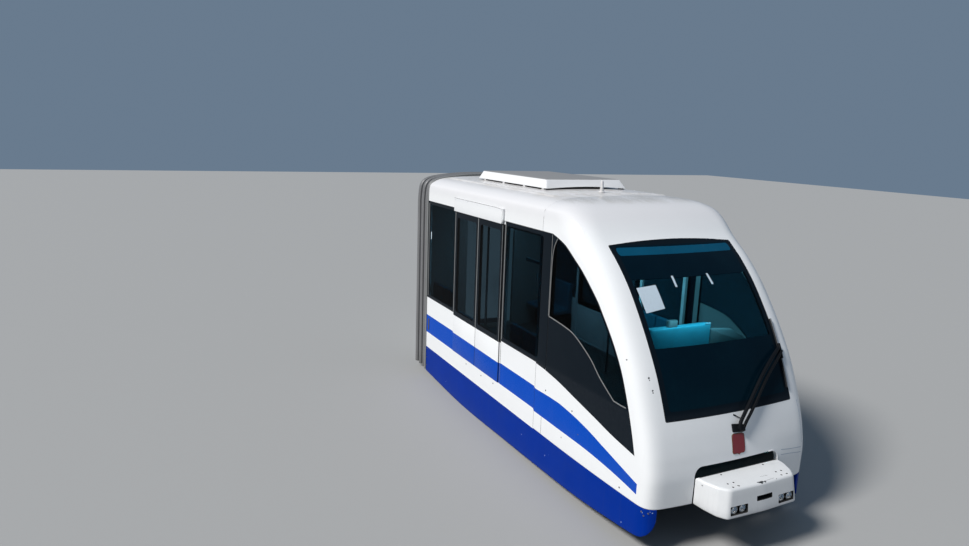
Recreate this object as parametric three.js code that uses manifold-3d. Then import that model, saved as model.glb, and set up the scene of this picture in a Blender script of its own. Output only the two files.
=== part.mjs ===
// Lead car of a light straddle monorail train, drawn in millimetres.
// +X points to the nose, +Y to the left side, +Z up.
// The origin lies on the running surface of the beam, midway between the two bogies.

import * as THREE from 'three';
import { mergeVertices } from 'three/addons/utils/BufferGeometryUtils.js';
import Module from 'manifold-3d';

const wasm = await Module();
wasm.setup();

// Driving dimensions of the body
const SEAT_GAP = 0.3;
const WELD = 0.02;
const REAR_X = -2600;
const SEAM_X = 1000;
const HALF_WIDTH = 1145;
const WALL = 45;
const INNER_HALF = HALF_WIDTH - WALL;
const SKIN_LOW_Z = 242;
const DOOR_SILL_Z = 500;
const GLASS_LOW_Z = 1100;
const GLASS_TOP_Z = 2696;
const PANE = 10;
const PANE_EDGE = 3;
const DECK_TOP_Z = 480;
const DECK_LOW_Z = 440;
const SILL_LOW_Z = 380;
const SILL = { rear: REAR_X + 60, front: 2700, y: 410, half: 35 };
const HANGER = { x: 700, half: 40 };

// Doorway and the two leaves that close it
const DOOR = { rear: -1495, front: 76, top: 2650, edge: 3, meet: 5, inner: 1108, outer: 1153 };
const POST = 50;

// Sizes of the running gear
const BOGIE_X = 1900;
const BOGIE_SEAT_Z = 340;
const RUNNING_FIT = 0.8;
const WHEEL = { radius: 180, rim: 140, y: 700, half: 55, axle: 40, sides: 24 };
const GUIDE = { radius: 50, y: 1020, x: 260, top: -60, low: -140, pin: 15 };
const DRAW_PIN = { x: -2450, radius: 24 };

// Finishes of the pieces
const paint = (color, roughness, metalness) =>
  new THREE.MeshStandardMaterial({ color, roughness, metalness });
const FINISH = {
  white: () => paint(0xe8eaee, 0.35, 0.0),
  blue: () => paint(0x0a3a9c, 0.4, 0.0),
  glass: () => paint(0x10181c, 0.08, 0.0),
  bellows: () => paint(0x6d7073, 0.75, 0.0),
  frame: () => paint(0x3a3e42, 0.55, 0.6),
  steel: () => paint(0x8d9195, 0.4, 0.9),
  tyre: () => paint(0x1c1c1d, 0.9, 0.0),
  lamp: () => paint(0xd9dde0, 0.15, 0.7),
  interior: () => paint(0x2b8f96, 0.6, 0.0),
  seat: () => paint(0x2f6f86, 0.8, 0.0),
  dark: () => paint(0x17191b, 0.6, 0.2),
};

// Nose body as horizontal slices
// columns: height, front x on the centre line, half width at the seam,
// half width of the front face, length of the rounded corner
const NOSE_ROWS = [
  [242, 3185, 1145, 900, 190],
  [500, 3190, 1145, 895, 190],
  [700, 3165, 1145, 890, 195],
  [900, 3115, 1145, 885, 200],
  [1100, 3045, 1145, 880, 205],
  [1460, 2890, 1145, 875, 225],
  [1730, 2735, 1145, 872, 250],
  [2000, 2555, 1145, 870, 285],
  [2260, 2357, 1145, 868, 330],
  [2470, 2157, 1145, 865, 380],
  [2700, 1890, 1145, 862, 430],
  [2860, 1735, 1141, 850, 430],
  [2940, 1635, 1129, 820, 400],
  [3003, 1520, 1060, 760, 340],
  [3044, 1400, 963, 680, 280],
  [3072, 1270, 816, 560, 200],
  [3088, 1130, 571, 380, 90],
  [3096, 1060, 330, 250, 30],
];
const FACE_BULGE = { depth: 45, half: 880 };
const TAPER = { start: 1400, span: 1456, depth: 38 };
// Reach of the corner's curve handles, as a share of the corner's length and width
const CORNER_HANDLE = 0.7;
const SIDE_STEPS = 4;
const CORNER_STEPS = 5;
const FACE_STEPS = 2;

// Side outline of the nose glass: columns x, z, front edge first and then the lower edge
const SAIL_OUTLINE = [
  [1224, 2696], [1352, 2659], [1504, 2602], [1680, 2491], [1876, 2358], [2124, 2141],
  [2216, 2040], [2417, 1792], [2589, 1526], [2717, 1235], [2816, 954], [2882, 727],
  [2532, 796], [2225, 871], [1885, 947], [1517, 1026], [1224, 1068],
];
// Front outline of the windscreen: columns y, z for the left half, bottom to top
const SCREEN_HALF = [[0, 1086], [858, 1086], [866, 2656], [440, 2688], [0, 2700]];
// Opening for the coupler cover: columns y, z for the left half
const ARCH_HALF = [[574, 100], [574, 528], [560, 578], [525, 612], [474, 628]];
const SKIRT_DEPTH = 24;
const SKIRT_JOINT_X = 2400;
// Lower edge of the blue skirt: columns x, z
const SKIRT_LOW = [
  [-2600, -190], [-1000, -257], [280, -223], [1270, -193], [2000, -165], [2632, -117],
  [2911, -93], [3038, -69], [3094, -25], [3108, 6], [3118, 40], [3125, 113], [3128, 242],
];

// Solids from outlines

function toSolid(geometry) {
  const bare = geometry.clone();
  bare.deleteAttribute('normal');
  bare.deleteAttribute('uv');
  const merged = mergeVertices(bare, 1e-3);
  return new wasm.Manifold(new wasm.Mesh({
    numProp: 3,
    vertProperties: new Float32Array(merged.attributes.position.array),
    triVerts: new Uint32Array(merged.index.array),
  }));
}

// The closed mesh of a solid, with corners closer than WELD drawn together
function toGeometry(solid) {
  const mesh = solid.getMesh();
  const loose = new THREE.BufferGeometry();
  loose.setAttribute('position', new THREE.BufferAttribute(new Float32Array(mesh.vertProperties), 3));
  loose.setIndex(new THREE.BufferAttribute(new Uint32Array(mesh.triVerts), 1));
  const geometry = mergeVertices(loose, WELD);
  const corners = Array.from(geometry.index.array);
  const kept = [];
  for (let i = 0; i < corners.length; i += 3) {
    const [a, b, c] = corners.slice(i, i + 3);
    if (a !== b && b !== c && c !== a) kept.push(a, b, c);
  }
  geometry.setIndex(kept);
  geometry.computeVertexNormals();
  return geometry;
}

const cut = (solid, ...tools) => tools.reduce((rest, tool) => rest.subtract(tool), solid);
const join = (solid, ...others) => others.reduce((sum, other) => sum.add(other), solid);

function outlineShape(points, holes = []) {
  const shape = new THREE.Shape(points.map(([a, b]) => new THREE.Vector2(a, b)));
  for (const hole of holes) {
    shape.holes.push(new THREE.Path(hole.map(([a, b]) => new THREE.Vector2(a, b))));
  }
  return shape;
}

function extrude(points, low, high, basis, holes) {
  const geometry = new THREE.ExtrudeGeometry(outlineShape(points, holes), {
    depth: high - low,
    bevelEnabled: false,
  });
  geometry.translate(0, 0, low);
  return toSolid(geometry.applyMatrix4(new THREE.Matrix4().makeBasis(...basis)));
}

const AXIS_X = new THREE.Vector3(1, 0, 0);
const AXIS_Y = new THREE.Vector3(0, 1, 0);
const AXIS_Z = new THREE.Vector3(0, 0, 1);

// A plan outline (x, y) raised from one height to another
const planSlab = (points, z0, z1, holes) => extrude(points, z0, z1, [AXIS_X, AXIS_Y, AXIS_Z], holes);

// An end outline (y, z) drawn out along x
const endSlab = (points, x0, x1, holes) => extrude(points, x0, x1, [AXIS_Y, AXIS_Z, AXIS_X], holes);

// A side outline (x, z) drawn out along y
const sideSlab = (points, y0, y1, holes) =>
  extrude(points, -y1, -y0, [AXIS_X, AXIS_Z, AXIS_Y.clone().negate()], holes);

const rectangle = (a0, a1, b0, b1) => [[a0, b0], [a1, b0], [a1, b1], [a0, b1]];
const block = (x0, x1, y0, y1, z0, z1) => planSlab(rectangle(x0, x1, y0, y1), z0, z1);

function mirrored(solid) {
  const mesh = solid.getMesh();
  const positions = new Float32Array(mesh.vertProperties);
  for (let i = 1; i < positions.length; i += 3) positions[i] = -positions[i];
  const triangles = new Uint32Array(mesh.triVerts);
  for (let i = 0; i < triangles.length; i += 3) {
    [triangles[i], triangles[i + 1]] = [triangles[i + 1], triangles[i]];
  }
  return new wasm.Manifold(new wasm.Mesh({
    numProp: 3,
    vertProperties: positions,
    triVerts: triangles,
  }));
}

// A body of revolution about an upright axis, then turned and placed
function turned(profile, sides, place) {
  const points = profile.map(([radius, height]) => new THREE.Vector2(radius, height));
  const geometry = new THREE.LatheGeometry(points, sides);
  geometry.rotateX(Math.PI / 2);
  if (place) geometry.applyMatrix4(place);
  return toSolid(geometry);
}

function roundBar(from, to, radius, sides) {
  const axis = to.clone().sub(from);
  const geometry = new THREE.CylinderGeometry(radius, radius, axis.length(), sides);
  const turn = new THREE.Quaternion().setFromUnitVectors(AXIS_Y, axis.clone().normalize());
  geometry.applyQuaternion(turn);
  geometry.translate(...from.clone().add(to).multiplyScalar(0.5).toArray());
  return toSolid(geometry);
}

// Nose surface

const lerp = (a, b, t) => a + (b - a) * t;
const sideTaper = (x) => TAPER.depth * (Math.max(0, x - TAPER.start) / TAPER.span) ** 2;

const faceBulge = (face) => FACE_BULGE.depth * (face / FACE_BULGE.half) ** 2;

function noseRow(z) {
  const above = NOSE_ROWS.findIndex((row) => row[0] >= z);
  if (above <= 0) return NOSE_ROWS[above < 0 ? NOSE_ROWS.length - 1 : 0];
  const [low, high] = [NOSE_ROWS[above - 1], NOSE_ROWS[above]];
  const t = (z - low[0]) / (high[0] - low[0]);
  return low.map((value, column) => lerp(value, high[column], t));
}

// Half of one slice, from the seam on the side to the centre of the front face
function noseHalfSlice(z) {
  const [, front, half, face, corner] = noseRow(z);
  const bulge = faceBulge(face);
  const cornerX = front - bulge - corner;
  const sideEnd = new THREE.Vector2(cornerX, half - sideTaper(cornerX));
  const faceEnd = new THREE.Vector2(front - bulge, face);
  const faceRun = new THREE.Vector2(-2 * bulge / face, 1).normalize();
  const sideRun = new THREE.Vector2(1, sideTaper(cornerX) - sideTaper(cornerX + 1));
  const bend = new THREE.CubicBezierCurve(
    sideEnd,
    sideEnd.clone().addScaledVector(sideRun, CORNER_HANDLE * corner),
    faceEnd.clone().addScaledVector(faceRun, CORNER_HANDLE * (sideEnd.y - face)),
    faceEnd,
  );
  const points = [];
  for (let i = 0; i < SIDE_STEPS; i += 1) {
    const x = lerp(SEAM_X, cornerX, i / SIDE_STEPS);
    points.push(new THREE.Vector2(x, half - sideTaper(x)));
  }
  for (let i = 0; i < CORNER_STEPS; i += 1) points.push(bend.getPoint(i / CORNER_STEPS));
  for (let i = 0; i <= FACE_STEPS; i += 1) {
    const y = face * (1 - i / FACE_STEPS);
    points.push(new THREE.Vector2(front - bulge * (y / face) ** 2, y));
  }
  return points;
}

// Rows of points round the nose, left seam to right seam
function noseGrid() {
  return NOSE_ROWS.map(([z]) => {
    const half = noseHalfSlice(z);
    const right = half.slice(0, -1).reverse().map((p) => new THREE.Vector3(p.x, -p.y, z));
    return [...half.map((p) => new THREE.Vector3(p.x, p.y, z)), ...right];
  });
}

function gridNormal(grid, row, column) {
  const at = (r, c) => grid[Math.min(Math.max(r, 0), grid.length - 1)][
    Math.min(Math.max(c, 0), grid[0].length - 1)];
  const along = at(row, column + 1).clone().sub(at(row, column - 1));
  const up = at(row + 1, column).clone().sub(at(row - 1, column));
  return up.cross(along).normalize();
}

// The nose volume moved inwards by a depth, and drawn out behind the seam and below the skin
function noseVolume(depth, overrun) {
  const grid = noseGrid();
  let rows = grid.map((line, row) =>
    line.map((p, column) => p.clone().addScaledVector(gridNormal(grid, row, column), -depth)));
  if (overrun > 0) {
    const back = (p) => new THREE.Vector3(SEAM_X - overrun, p.y, p.z);
    rows = rows.map((line) => [back(line[0]), ...line.slice(1, -1), back(line[line.length - 1])]);
    rows[0] = rows[0].map((p) => new THREE.Vector3(p.x, p.y, SKIN_LOW_Z - overrun));
  }
  const width = rows[0].length;
  const positions = rows.flat().flatMap((p) => p.toArray());
  const index = [];
  const quad = (a, b, c, d) => index.push(a, b, c, a, c, d);
  for (let r = 0; r + 1 < rows.length; r += 1) {
    for (let c = 0; c + 1 < width; c += 1) {
      quad(r * width + c, (r + 1) * width + c, (r + 1) * width + c + 1, r * width + c + 1);
    }
    quad(r * width + width - 1, (r + 1) * width + width - 1, (r + 1) * width, r * width);
  }
  const capRow = (r, flip) => {
    const first = r * width;
    for (let c = 0; c < (width - 1) / 2; c += 1) {
      const ring = [first + c, first + c + 1, first + width - 2 - c, first + width - 1 - c];
      if (ring[1] === ring[2]) index.push(...(flip ? [ring[0], ring[3], ring[1]] : [ring[0], ring[1], ring[3]]));
      else if (flip) quad(ring[3], ring[2], ring[1], ring[0]);
      else quad(...ring);
    }
  };
  capRow(0, false);
  capRow(rows.length - 1, true);
  const geometry = new THREE.BufferGeometry();
  geometry.setAttribute('position', new THREE.Float32BufferAttribute(positions, 3));
  geometry.setIndex(index);
  return toSolid(geometry);
}

const NOSE_OUTER = noseVolume(0, 0);
const NOSE_CLEAR = noseVolume(-SEAT_GAP, 20);
const NOSE_PANE = noseVolume(PANE, 60);
const NOSE_LEDGE = noseVolume(PANE + SEAT_GAP, 60);
const NOSE_INNER = noseVolume(WALL, 80);

// Outlines drawn in from their edges

function inset(points, distance) {
  const ring = points.map(([a, b]) => new THREE.Vector2(a, b));
  const clockwise = THREE.ShapeUtils.isClockWise(ring);
  return ring.map((point, i) => {
    const before = ring[(i + ring.length - 1) % ring.length];
    const after = ring[(i + 1) % ring.length];
    const inward = (from, to) => {
      const run = to.clone().sub(from).normalize();
      return clockwise ? new THREE.Vector2(run.y, -run.x) : new THREE.Vector2(-run.y, run.x);
    };
    const first = inward(before, point);
    const second = inward(point, after);
    const middle = first.clone().add(second).normalize();
    const reach = distance / Math.max(0.35, middle.dot(first));
    return [point.x + middle.x * reach, point.y + middle.y * reach];
  });
}

const bothHalves = (half) => [
  ...half,
  ...half.slice().reverse().filter(([y]) => y !== 0).map(([y, z]) => [-y, z]),
];

const screenOutline = bothHalves(SCREEN_HALF);
const archOutline = bothHalves(ARCH_HALF);

// Body section over the roof, from the left cantrail to the right
function roofArch(shift) {
  const half = NOSE_ROWS.filter(([z]) => z >= 2700).map(([z, , y]) => [y, z]);
  half.unshift([HALF_WIDTH, GLASS_TOP_Z + SEAT_GAP]);
  half.push([0, 3098]);
  if (shift === 0) return bothHalves(half);
  const outer = bothHalves(half);
  return outer.map(([y, z], i) => {
    const before = outer[Math.max(i - 1, 0)];
    const after = outer[Math.min(i + 1, outer.length - 1)];
    const run = new THREE.Vector2(after[0] - before[0], after[1] - before[1]).normalize();
    const end = i === 0 || i === outer.length - 1;
    return end ? [y - Math.sign(y) * shift, z] : [y - run.y * shift, z + run.x * shift];
  });
}

const arch = (outer, inner) => [...outer, ...inner.slice().reverse()];

// Body shell pieces

// Sheet deck with its cross members, slotted where the sills and the end ties pass below it
function floorDeck() {
  const edge = noseHalfSlice(DECK_LOW_Z)
    .map((p) => [p.x, p.y])
    .filter(([x, y]) => y > 0 && x > SEAM_X);
  const left = [[REAR_X + 1, HALF_WIDTH], ...edge];
  const plan = [...left, ...left.slice().reverse().map(([x, y]) => [x, -y])];
  const deck = planSlab(inset(plan, WALL + SEAT_GAP + 0.5), DECK_LOW_Z, DECK_TOP_Z);
  const gangway = block(REAR_X - 480, SILL.rear, -430, 430, DECK_LOW_Z, DECK_TOP_Z);
  const members = [-2500, -1350, -450, 450, 1350, 2500].map((x) =>
    block(x - 40, x + 40, -1060, 1060, SILL_LOW_Z + 15, DECK_LOW_Z + 1));
  const reach = SILL.half + SEAT_GAP;
  const sillSlots = [-1, 1].map((side) => block(SILL.rear - 1, SILL.front + 1,
    side * SILL.y - reach, side * SILL.y + reach, SILL_LOW_Z, DECK_LOW_Z));
  const rearSlot = block(SILL.rear - 1, SILL.rear + 190, -SILL.y, SILL.y, SILL_LOW_Z, DECK_LOW_Z);
  return cut(join(deck, gangway, ...members), ...sillSlots, rearSlot);
}

// Sills tied across at both ends, with the bolsters, nose beams and draw pin between them
function underframe() {
  const top = DECK_LOW_Z - SEAT_GAP;
  const tie = (x0, x1) => block(x0, x1, -SILL.y, SILL.y, SILL_LOW_Z, top);
  const sills = [-1, 1].map((side) => block(SILL.rear, SILL.front,
    side * SILL.y - SILL.half, side * SILL.y + SILL.half, SILL_LOW_Z, top));
  const seats = [-BOGIE_X, BOGIE_X].map((x) =>
    turned([[0, BOGIE_SEAT_Z], [190, BOGIE_SEAT_Z], [190, SILL_LOW_Z + 1], [0, SILL_LOW_Z + 1]], 24,
      new THREE.Matrix4().makeTranslation(x, 0, 0)));
  const bolsters = [-BOGIE_X, BOGIE_X].map((x) => tie(x - 230, x + 230));
  const motorTies = [-1, 1].map((end) => tie(end * HANGER.x - HANGER.half, end * HANGER.x + HANGER.half));
  const noseBeams = [-1, 1].map((side) =>
    block(2600, 3171 - SEAT_GAP, side * 260 - 45, side * 260 + 45, 330, top));
  const drawPin = turned([[0, 286], [45, 286], [45, 291], [DRAW_PIN.radius, 291],
    [DRAW_PIN.radius, SILL_LOW_Z + 1], [0, SILL_LOW_Z + 1]], 16,
  new THREE.Matrix4().makeTranslation(DRAW_PIN.x, 0, 0));
  const drawBlock = block(SILL.rear, SILL.rear + 180, -120, 120, 366, top);
  return join(...sills, ...seats, ...bolsters, ...motorTies, ...noseBeams, drawBlock, drawPin,
    tie(SILL.rear, SILL.rear + 80), tie(2600, SILL.front));
}

function sideWall() {
  const rear = REAR_X + SEAT_GAP;
  const front = SEAM_X - SEAT_GAP;
  const lower = sideSlab([
    [rear, SKIN_LOW_Z], [front, SKIN_LOW_Z], [front, GLASS_LOW_Z], [DOOR.front, GLASS_LOW_Z],
    [DOOR.front, DOOR_SILL_Z], [DOOR.rear, DOOR_SILL_Z], [DOOR.rear, GLASS_LOW_Z],
    [rear, GLASS_LOW_Z],
  ], INNER_HALF, HALF_WIDTH);
  const frameTop = GLASS_TOP_Z - SEAT_GAP;
  const frame = sideSlab(rectangle(rear, front, GLASS_LOW_Z - 1, frameTop), INNER_HALF,
    HALF_WIDTH - PANE - SEAT_GAP, [
      rectangle(rear + POST, DOOR.rear - POST, GLASS_LOW_Z + 40, GLASS_TOP_Z - 40),
      rectangle(DOOR.rear, DOOR.front, GLASS_LOW_Z + 1, DOOR.top),
      rectangle(DOOR.front + POST, front - POST, GLASS_LOW_Z + 40, GLASS_TOP_Z - 40),
    ]);
  const doorway = block(DOOR.rear, DOOR.front, INNER_HALF - 5, HALF_WIDTH + 5, DOOR_SILL_Z, DOOR.top);
  return cut(join(lower, frame), doorway);
}

const roofShell = () => endSlab(arch(roofArch(0), roofArch(WALL)), REAR_X + SEAT_GAP, SEAM_X - SEAT_GAP);

function rearFrame() {
  const inner = roofArch(WALL + SEAT_GAP);
  const wall = [...inner, [-INNER_HALF + SEAT_GAP, DECK_TOP_Z + SEAT_GAP],
    [INNER_HALF - SEAT_GAP, DECK_TOP_Z + SEAT_GAP]];
  const passage = rectangle(-450, 450, DECK_TOP_Z + 60, 2500);
  return endSlab(wall, REAR_X + SEAT_GAP, REAR_X + 40, [passage]);
}

function sidePane(x0, x1) {
  return sideSlab(rectangle(x0, x1, GLASS_LOW_Z + SEAT_GAP, GLASS_TOP_Z - SEAT_GAP),
    HALF_WIDTH - PANE, HALF_WIDTH);
}

const FRONT_PANE_END = 1216;

function noseShell() {
  const shell = cut(NOSE_OUTER, NOSE_INNER);
  const outwards = (points, depth) => {
    const left = sideSlab(inset(points, depth), 900, HALF_WIDTH + 40);
    return [left, mirrored(left)];
  };
  const sailHole = outwards(SAIL_OUTLINE, WALL - 5);
  const sailSeat = outwards(SAIL_OUTLINE, 0).map((tool) => tool.subtract(NOSE_LEDGE));
  const paneSeat = [1, -1].map((side) => block(SEAM_X - 20, FRONT_PANE_END + PANE_EDGE,
    side > 0 ? HALF_WIDTH - PANE - SEAT_GAP : -HALF_WIDTH - 30,
    side > 0 ? HALF_WIDTH + 30 : -HALF_WIDTH + PANE + SEAT_GAP, GLASS_LOW_Z, GLASS_TOP_Z));
  const paneHole = [1, -1].map((side) => block(SEAM_X + 40, FRONT_PANE_END - 30,
    side > 0 ? INNER_HALF - 20 : -HALF_WIDTH - 30,
    side > 0 ? HALF_WIDTH + 30 : -INNER_HALF + 20, GLASS_LOW_Z + 40, GLASS_TOP_Z - 40));
  const screenHole = endSlab(inset(screenOutline, WALL - 5), 1300, 3400);
  const screenSeat = endSlab(screenOutline, 1300, 3400).subtract(NOSE_LEDGE);
  const couplerHole = endSlab(archOutline, 2700, 3400);
  return cut(shell, ...sailHole, ...sailSeat, ...paneSeat, ...paneHole, screenHole, screenSeat,
    couplerHole);
}

const noseGlass = () => NOSE_OUTER.subtract(NOSE_PANE)
  .intersect(sideSlab(inset(SAIL_OUTLINE, PANE_EDGE), 900, HALF_WIDTH + 40));

const windscreen = () => NOSE_OUTER.subtract(NOSE_PANE)
  .intersect(endSlab(inset(screenOutline, PANE_EDGE), 1300, 3400));

// Doors

function leafSpan(front) {
  const middle = (DOOR.rear + DOOR.front) / 2;
  return front
    ? [middle + DOOR.meet / 2, DOOR.front - DOOR.edge]
    : [DOOR.rear + DOOR.edge, middle - DOOR.meet / 2];
}

const LEAF_GLASS_Z = 1065;
const LEAF_LOW_Z = DOOR_SILL_Z + SEAT_GAP;
const LEAF_TOP_Z = DOOR.top - DOOR.edge;

function doorLeaf(front) {
  const [x0, x1] = leafSpan(front);
  const panel = block(x0, x1, DOOR.inner, DOOR.outer, LEAF_LOW_Z, LEAF_GLASS_Z);
  const frame = sideSlab(rectangle(x0, x1, LEAF_GLASS_Z - 1, LEAF_TOP_Z), DOOR.inner,
    DOOR.outer - PANE - SEAT_GAP,
    [rectangle(x0 + 70, x1 - 70, LEAF_GLASS_Z + 70, LEAF_TOP_Z - 70)]);
  return join(panel, frame);
}

function doorGlass(front) {
  const [x0, x1] = leafSpan(front);
  return block(x0 + PANE_EDGE, x1 - PANE_EDGE, DOOR.outer - PANE, DOOR.outer,
    LEAF_GLASS_Z + SEAT_GAP, LEAF_TOP_Z - PANE_EDGE);
}

const doorPelmet = () => endSlab([
  [HALF_WIDTH + SEAT_GAP, GLASS_TOP_Z + 1], [HALF_WIDTH + SEAT_GAP, 2845], [1158, 2850],
  [1172, 2838], [1174, 2670], [1162, 2650], [1156, 2650], [1156, GLASS_TOP_Z + 1],
], -1520, 40);

// Skirts and bellows

// One skirt panel between two places along the car
function skirt(rear, front) {
  const slice = noseHalfSlice(SKIN_LOW_Z).filter((p) => p.y >= 930 && p.x > SEAM_X);
  const outer = [[REAR_X, HALF_WIDTH], ...slice.map((p) => [p.x, p.y])];
  const inner = outer.map(([x, y], i) => {
    const before = outer[Math.max(i - 1, 0)];
    const after = outer[Math.min(i + 1, outer.length - 1)];
    const run = new THREE.Vector2(after[0] - before[0], after[1] - before[1]).normalize();
    return [x + run.y * SKIRT_DEPTH, y - run.x * SKIRT_DEPTH];
  });
  const band = planSlab(arch(outer, inner), -300, SKIN_LOW_Z - SEAT_GAP);
  const side = sideSlab([...SKIRT_LOW, [3300, SKIN_LOW_Z + 60], [REAR_X, SKIN_LOW_Z + 60]], 800, 1200);
  return band.intersect(side).intersect(block(rear, front, 800, 1200, -400, SKIN_LOW_Z + 1));
}

// Columns: half width, height
const BELLOWS_HALF = [
  [1163, -150], [1163, 2677], [1150, 2842], [1130, 2935], [1081, 3006], [994, 3053],
  [829, 3089], [572, 3120], [310, 3138], [0, 3142],
];

function bellowsRing() {
  const shrink = (by) => bothHalves(BELLOWS_HALF.map(([y, z]) => [Math.max(0, y - by), z < 0 ? z : z - by]));
  const ring = (by, x0, x1) => endSlab(arch(shrink(by), shrink(90)), x0, x1);
  const core = ring(18, REAR_X - 500, REAR_X);
  const ribs = [-500, -330, -160].map((x) => ring(0, REAR_X + x, REAR_X + x + 110));
  return join(core, ...ribs);
}

// Coupler cover and lamps

const COVER_TOP_Z = 530;
const COVER_LOW_Z = 240;
const LAMP = { y: 317, half: 110, low: 274, top: 363, back: 3470, bowlZ: 318, bowlShift: 54 };

// Columns: x, half width, for the lower and the upper outline
const COVER_LOW = [[3171, 561], [3290, 553], [3440, 523], [3535, 467], [3552, 0]];
const COVER_HIGH = [[3171, 561], [3280, 548], [3410, 498], [3500, 429], [3515, 0]];

function stackedRings(rings) {
  const width = rings[0].points.length;
  const positions = rings.flatMap(({ points, z }) => points.flatMap(([x, y]) => [x, y, z]));
  const index = [];
  for (let r = 0; r + 1 < rings.length; r += 1) {
    for (let c = 0; c < width; c += 1) {
      const [a, b] = [r * width + c, r * width + (c + 1) % width];
      index.push(a, b, b + width, a, b + width, a + width);
    }
  }
  const faces = THREE.ShapeUtils.triangulateShape(
    rings[0].points.map(([x, y]) => new THREE.Vector2(x, y)), []);
  const last = (rings.length - 1) * width;
  for (const [a, b, c] of faces) index.push(a, c, b, last + a, last + b, last + c);
  const geometry = new THREE.BufferGeometry();
  geometry.setAttribute('position', new THREE.Float32BufferAttribute(positions, 3));
  geometry.setIndex(index);
  return toSolid(geometry);
}

function coverOutline(half) {
  const right = half.map(([x, y]) => [x, -y]);
  const left = half.slice(0, -1).reverse();
  return [...right, ...left];
}

function couplerCover() {
  const body = stackedRings([
    { points: inset(coverOutline(COVER_LOW), 12), z: COVER_LOW_Z },
    { points: coverOutline(COVER_LOW), z: COVER_LOW_Z + 14 },
    { points: coverOutline(COVER_HIGH), z: COVER_TOP_Z - 16 },
    { points: inset(coverOutline(COVER_HIGH), 14), z: COVER_TOP_Z },
  ]);
  const hollow = block(3220, 3440, -400, 400, COVER_LOW_Z - 10, 470);
  const lamps = [-1, 1].map((side) => block(LAMP.back, 3600, side * LAMP.y - LAMP.half,
    side * LAMP.y + LAMP.half, LAMP.low, LAMP.top));
  const slot = block(3500, 3600, -103, 103, 364, 408);
  return cut(body, hollow, ...lamps, slot);
}

function headlamp(side) {
  const y0 = side * LAMP.y - LAMP.half + 2;
  const y1 = side * LAMP.y + LAMP.half - 2;
  const housing = block(LAMP.back + SEAT_GAP, 3512, y0, y1, LAMP.low + SEAT_GAP, LAMP.top - 2);
  const bowls = [-LAMP.bowlShift, LAMP.bowlShift].map((shift) => {
    const place = new THREE.Matrix4().makeTranslation(3513, side * LAMP.y + shift, LAMP.bowlZ)
      .multiply(new THREE.Matrix4().makeRotationY(Math.PI / 2));
    return turned([[0, -32], [22, -27], [38, 0], [38, 2], [0, 2]], 12, place);
  });
  return cut(housing, ...bowls);
}

// Roof equipment

const PLINTH = { rear: -2450, front: 750, lift: 14 };
const roofTop = () => roofArch(0).filter(([, z]) => z > 3060);

function roofPlinth() {
  const lower = [[880, 3061], ...roofTop().map(([y, z]) => [y, z + SEAT_GAP]), [-880, 3061]];
  const upper = [[860, 3078], ...roofTop().map(([y, z]) => [y, z + PLINTH.lift]), [-860, 3078]];
  return endSlab(arch(upper, lower), PLINTH.rear, PLINTH.front);
}

// The space that the plinth and the roof below it fill, with a seat gap on top
function plinthSeat() {
  const top = roofTop().map(([y, z]) => [y, z + PLINTH.lift + SEAT_GAP]);
  return endSlab([...top, [-900, 2900], [900, 2900]], PLINTH.rear - 10, PLINTH.front + 10);
}

const ROOF_COVER = { low: 3121, top: 3235, skin: 14 };

function roofCover() {
  const tray = (shrink) => stackedRings([
    { points: rectangle(-1822 + shrink, 185 - shrink, -639 + shrink, 639 - shrink),
      z: ROOF_COVER.low - (shrink ? 1 : 0) },
    { points: rectangle(-1770 + shrink, 88 - shrink, -585 + shrink, 585 - shrink),
      z: ROOF_COVER.top - shrink },
  ]);
  const feet = [-1, 1].flatMap((side) => [-1600, -1000, -400, 100].map((x) =>
    block(x - 25, x + 25, side * 605 - 20, side * 605 + 20, 3080, ROOF_COVER.low + 12)));
  return join(cut(tray(0), tray(ROOF_COVER.skin)), ...feet).subtract(plinthSeat());
}

function antenna() {
  const place = new THREE.Matrix4().makeTranslation(690, -129, 0);
  const foot = turned([[0, 3100], [36, 3100], [32, 3128], [0, 3128]], 12, place);
  const blade = sideSlab([[662, 3120], [718, 3120], [706, 3262], [676, 3262]], -138, -120);
  return join(foot, blade).subtract(plinthSeat());
}

// Wiper on the front face

function onFace(y, z, lift) {
  const slope = (noseRow(z + 5)[1] - noseRow(z - 5)[1]) / 10;
  const [, front, , face] = noseRow(z);
  const x = front - faceBulge(face) * (y / face) ** 2;
  const normal = new THREE.Vector3(1, 2 * faceBulge(face) * y / face ** 2, -slope).normalize();
  return new THREE.Vector3(x, y, z).addScaledVector(normal, lift);
}

// Places on the face as y, z
const WIPER = {
  pivot: [20, 930], knee: [446, 1352], end: [818, 1568], spread: [20, -21],
  clip: [[828, 1500], [838, 1620]], blade: [[864, 1872], [841, 1570], [825, 1209]], lift: 46,
};

function wiper() {
  const hub = roundBar(onFace(...WIPER.pivot, -20), onFace(...WIPER.pivot, 62), 30, 12);
  const arms = [-1, 1].flatMap((side) => {
    const beside = ([y, z], lift) =>
      onFace(y + side * WIPER.spread[0], z + side * WIPER.spread[1], WIPER.lift + lift);
    const knee = beside(WIPER.knee, 12);
    return [roundBar(beside(WIPER.pivot, 0), knee, 12, 6), roundBar(knee, beside(WIPER.end, -6), 12, 6)];
  });
  const knuckle = roundBar(...WIPER.clip.map(([y, z]) => onFace(y, z, WIPER.lift - 6)), 14, 8);
  const blade = WIPER.blade.slice(1).map(([y, z], i) =>
    roundBar(onFace(...WIPER.blade[i], 30), onFace(y, z, 30), 13, 6));
  return join(hub, ...arms, knuckle, ...blade).subtract(NOSE_CLEAR);
}

// Interior

const driverDesk = () => sideSlab([
  [2430, DECK_TOP_Z + SEAT_GAP], [2880, DECK_TOP_Z + SEAT_GAP], [2880, 900], [2800, 1130],
  [2520, 1090], [2430, 1010],
], -720, 720);

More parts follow.
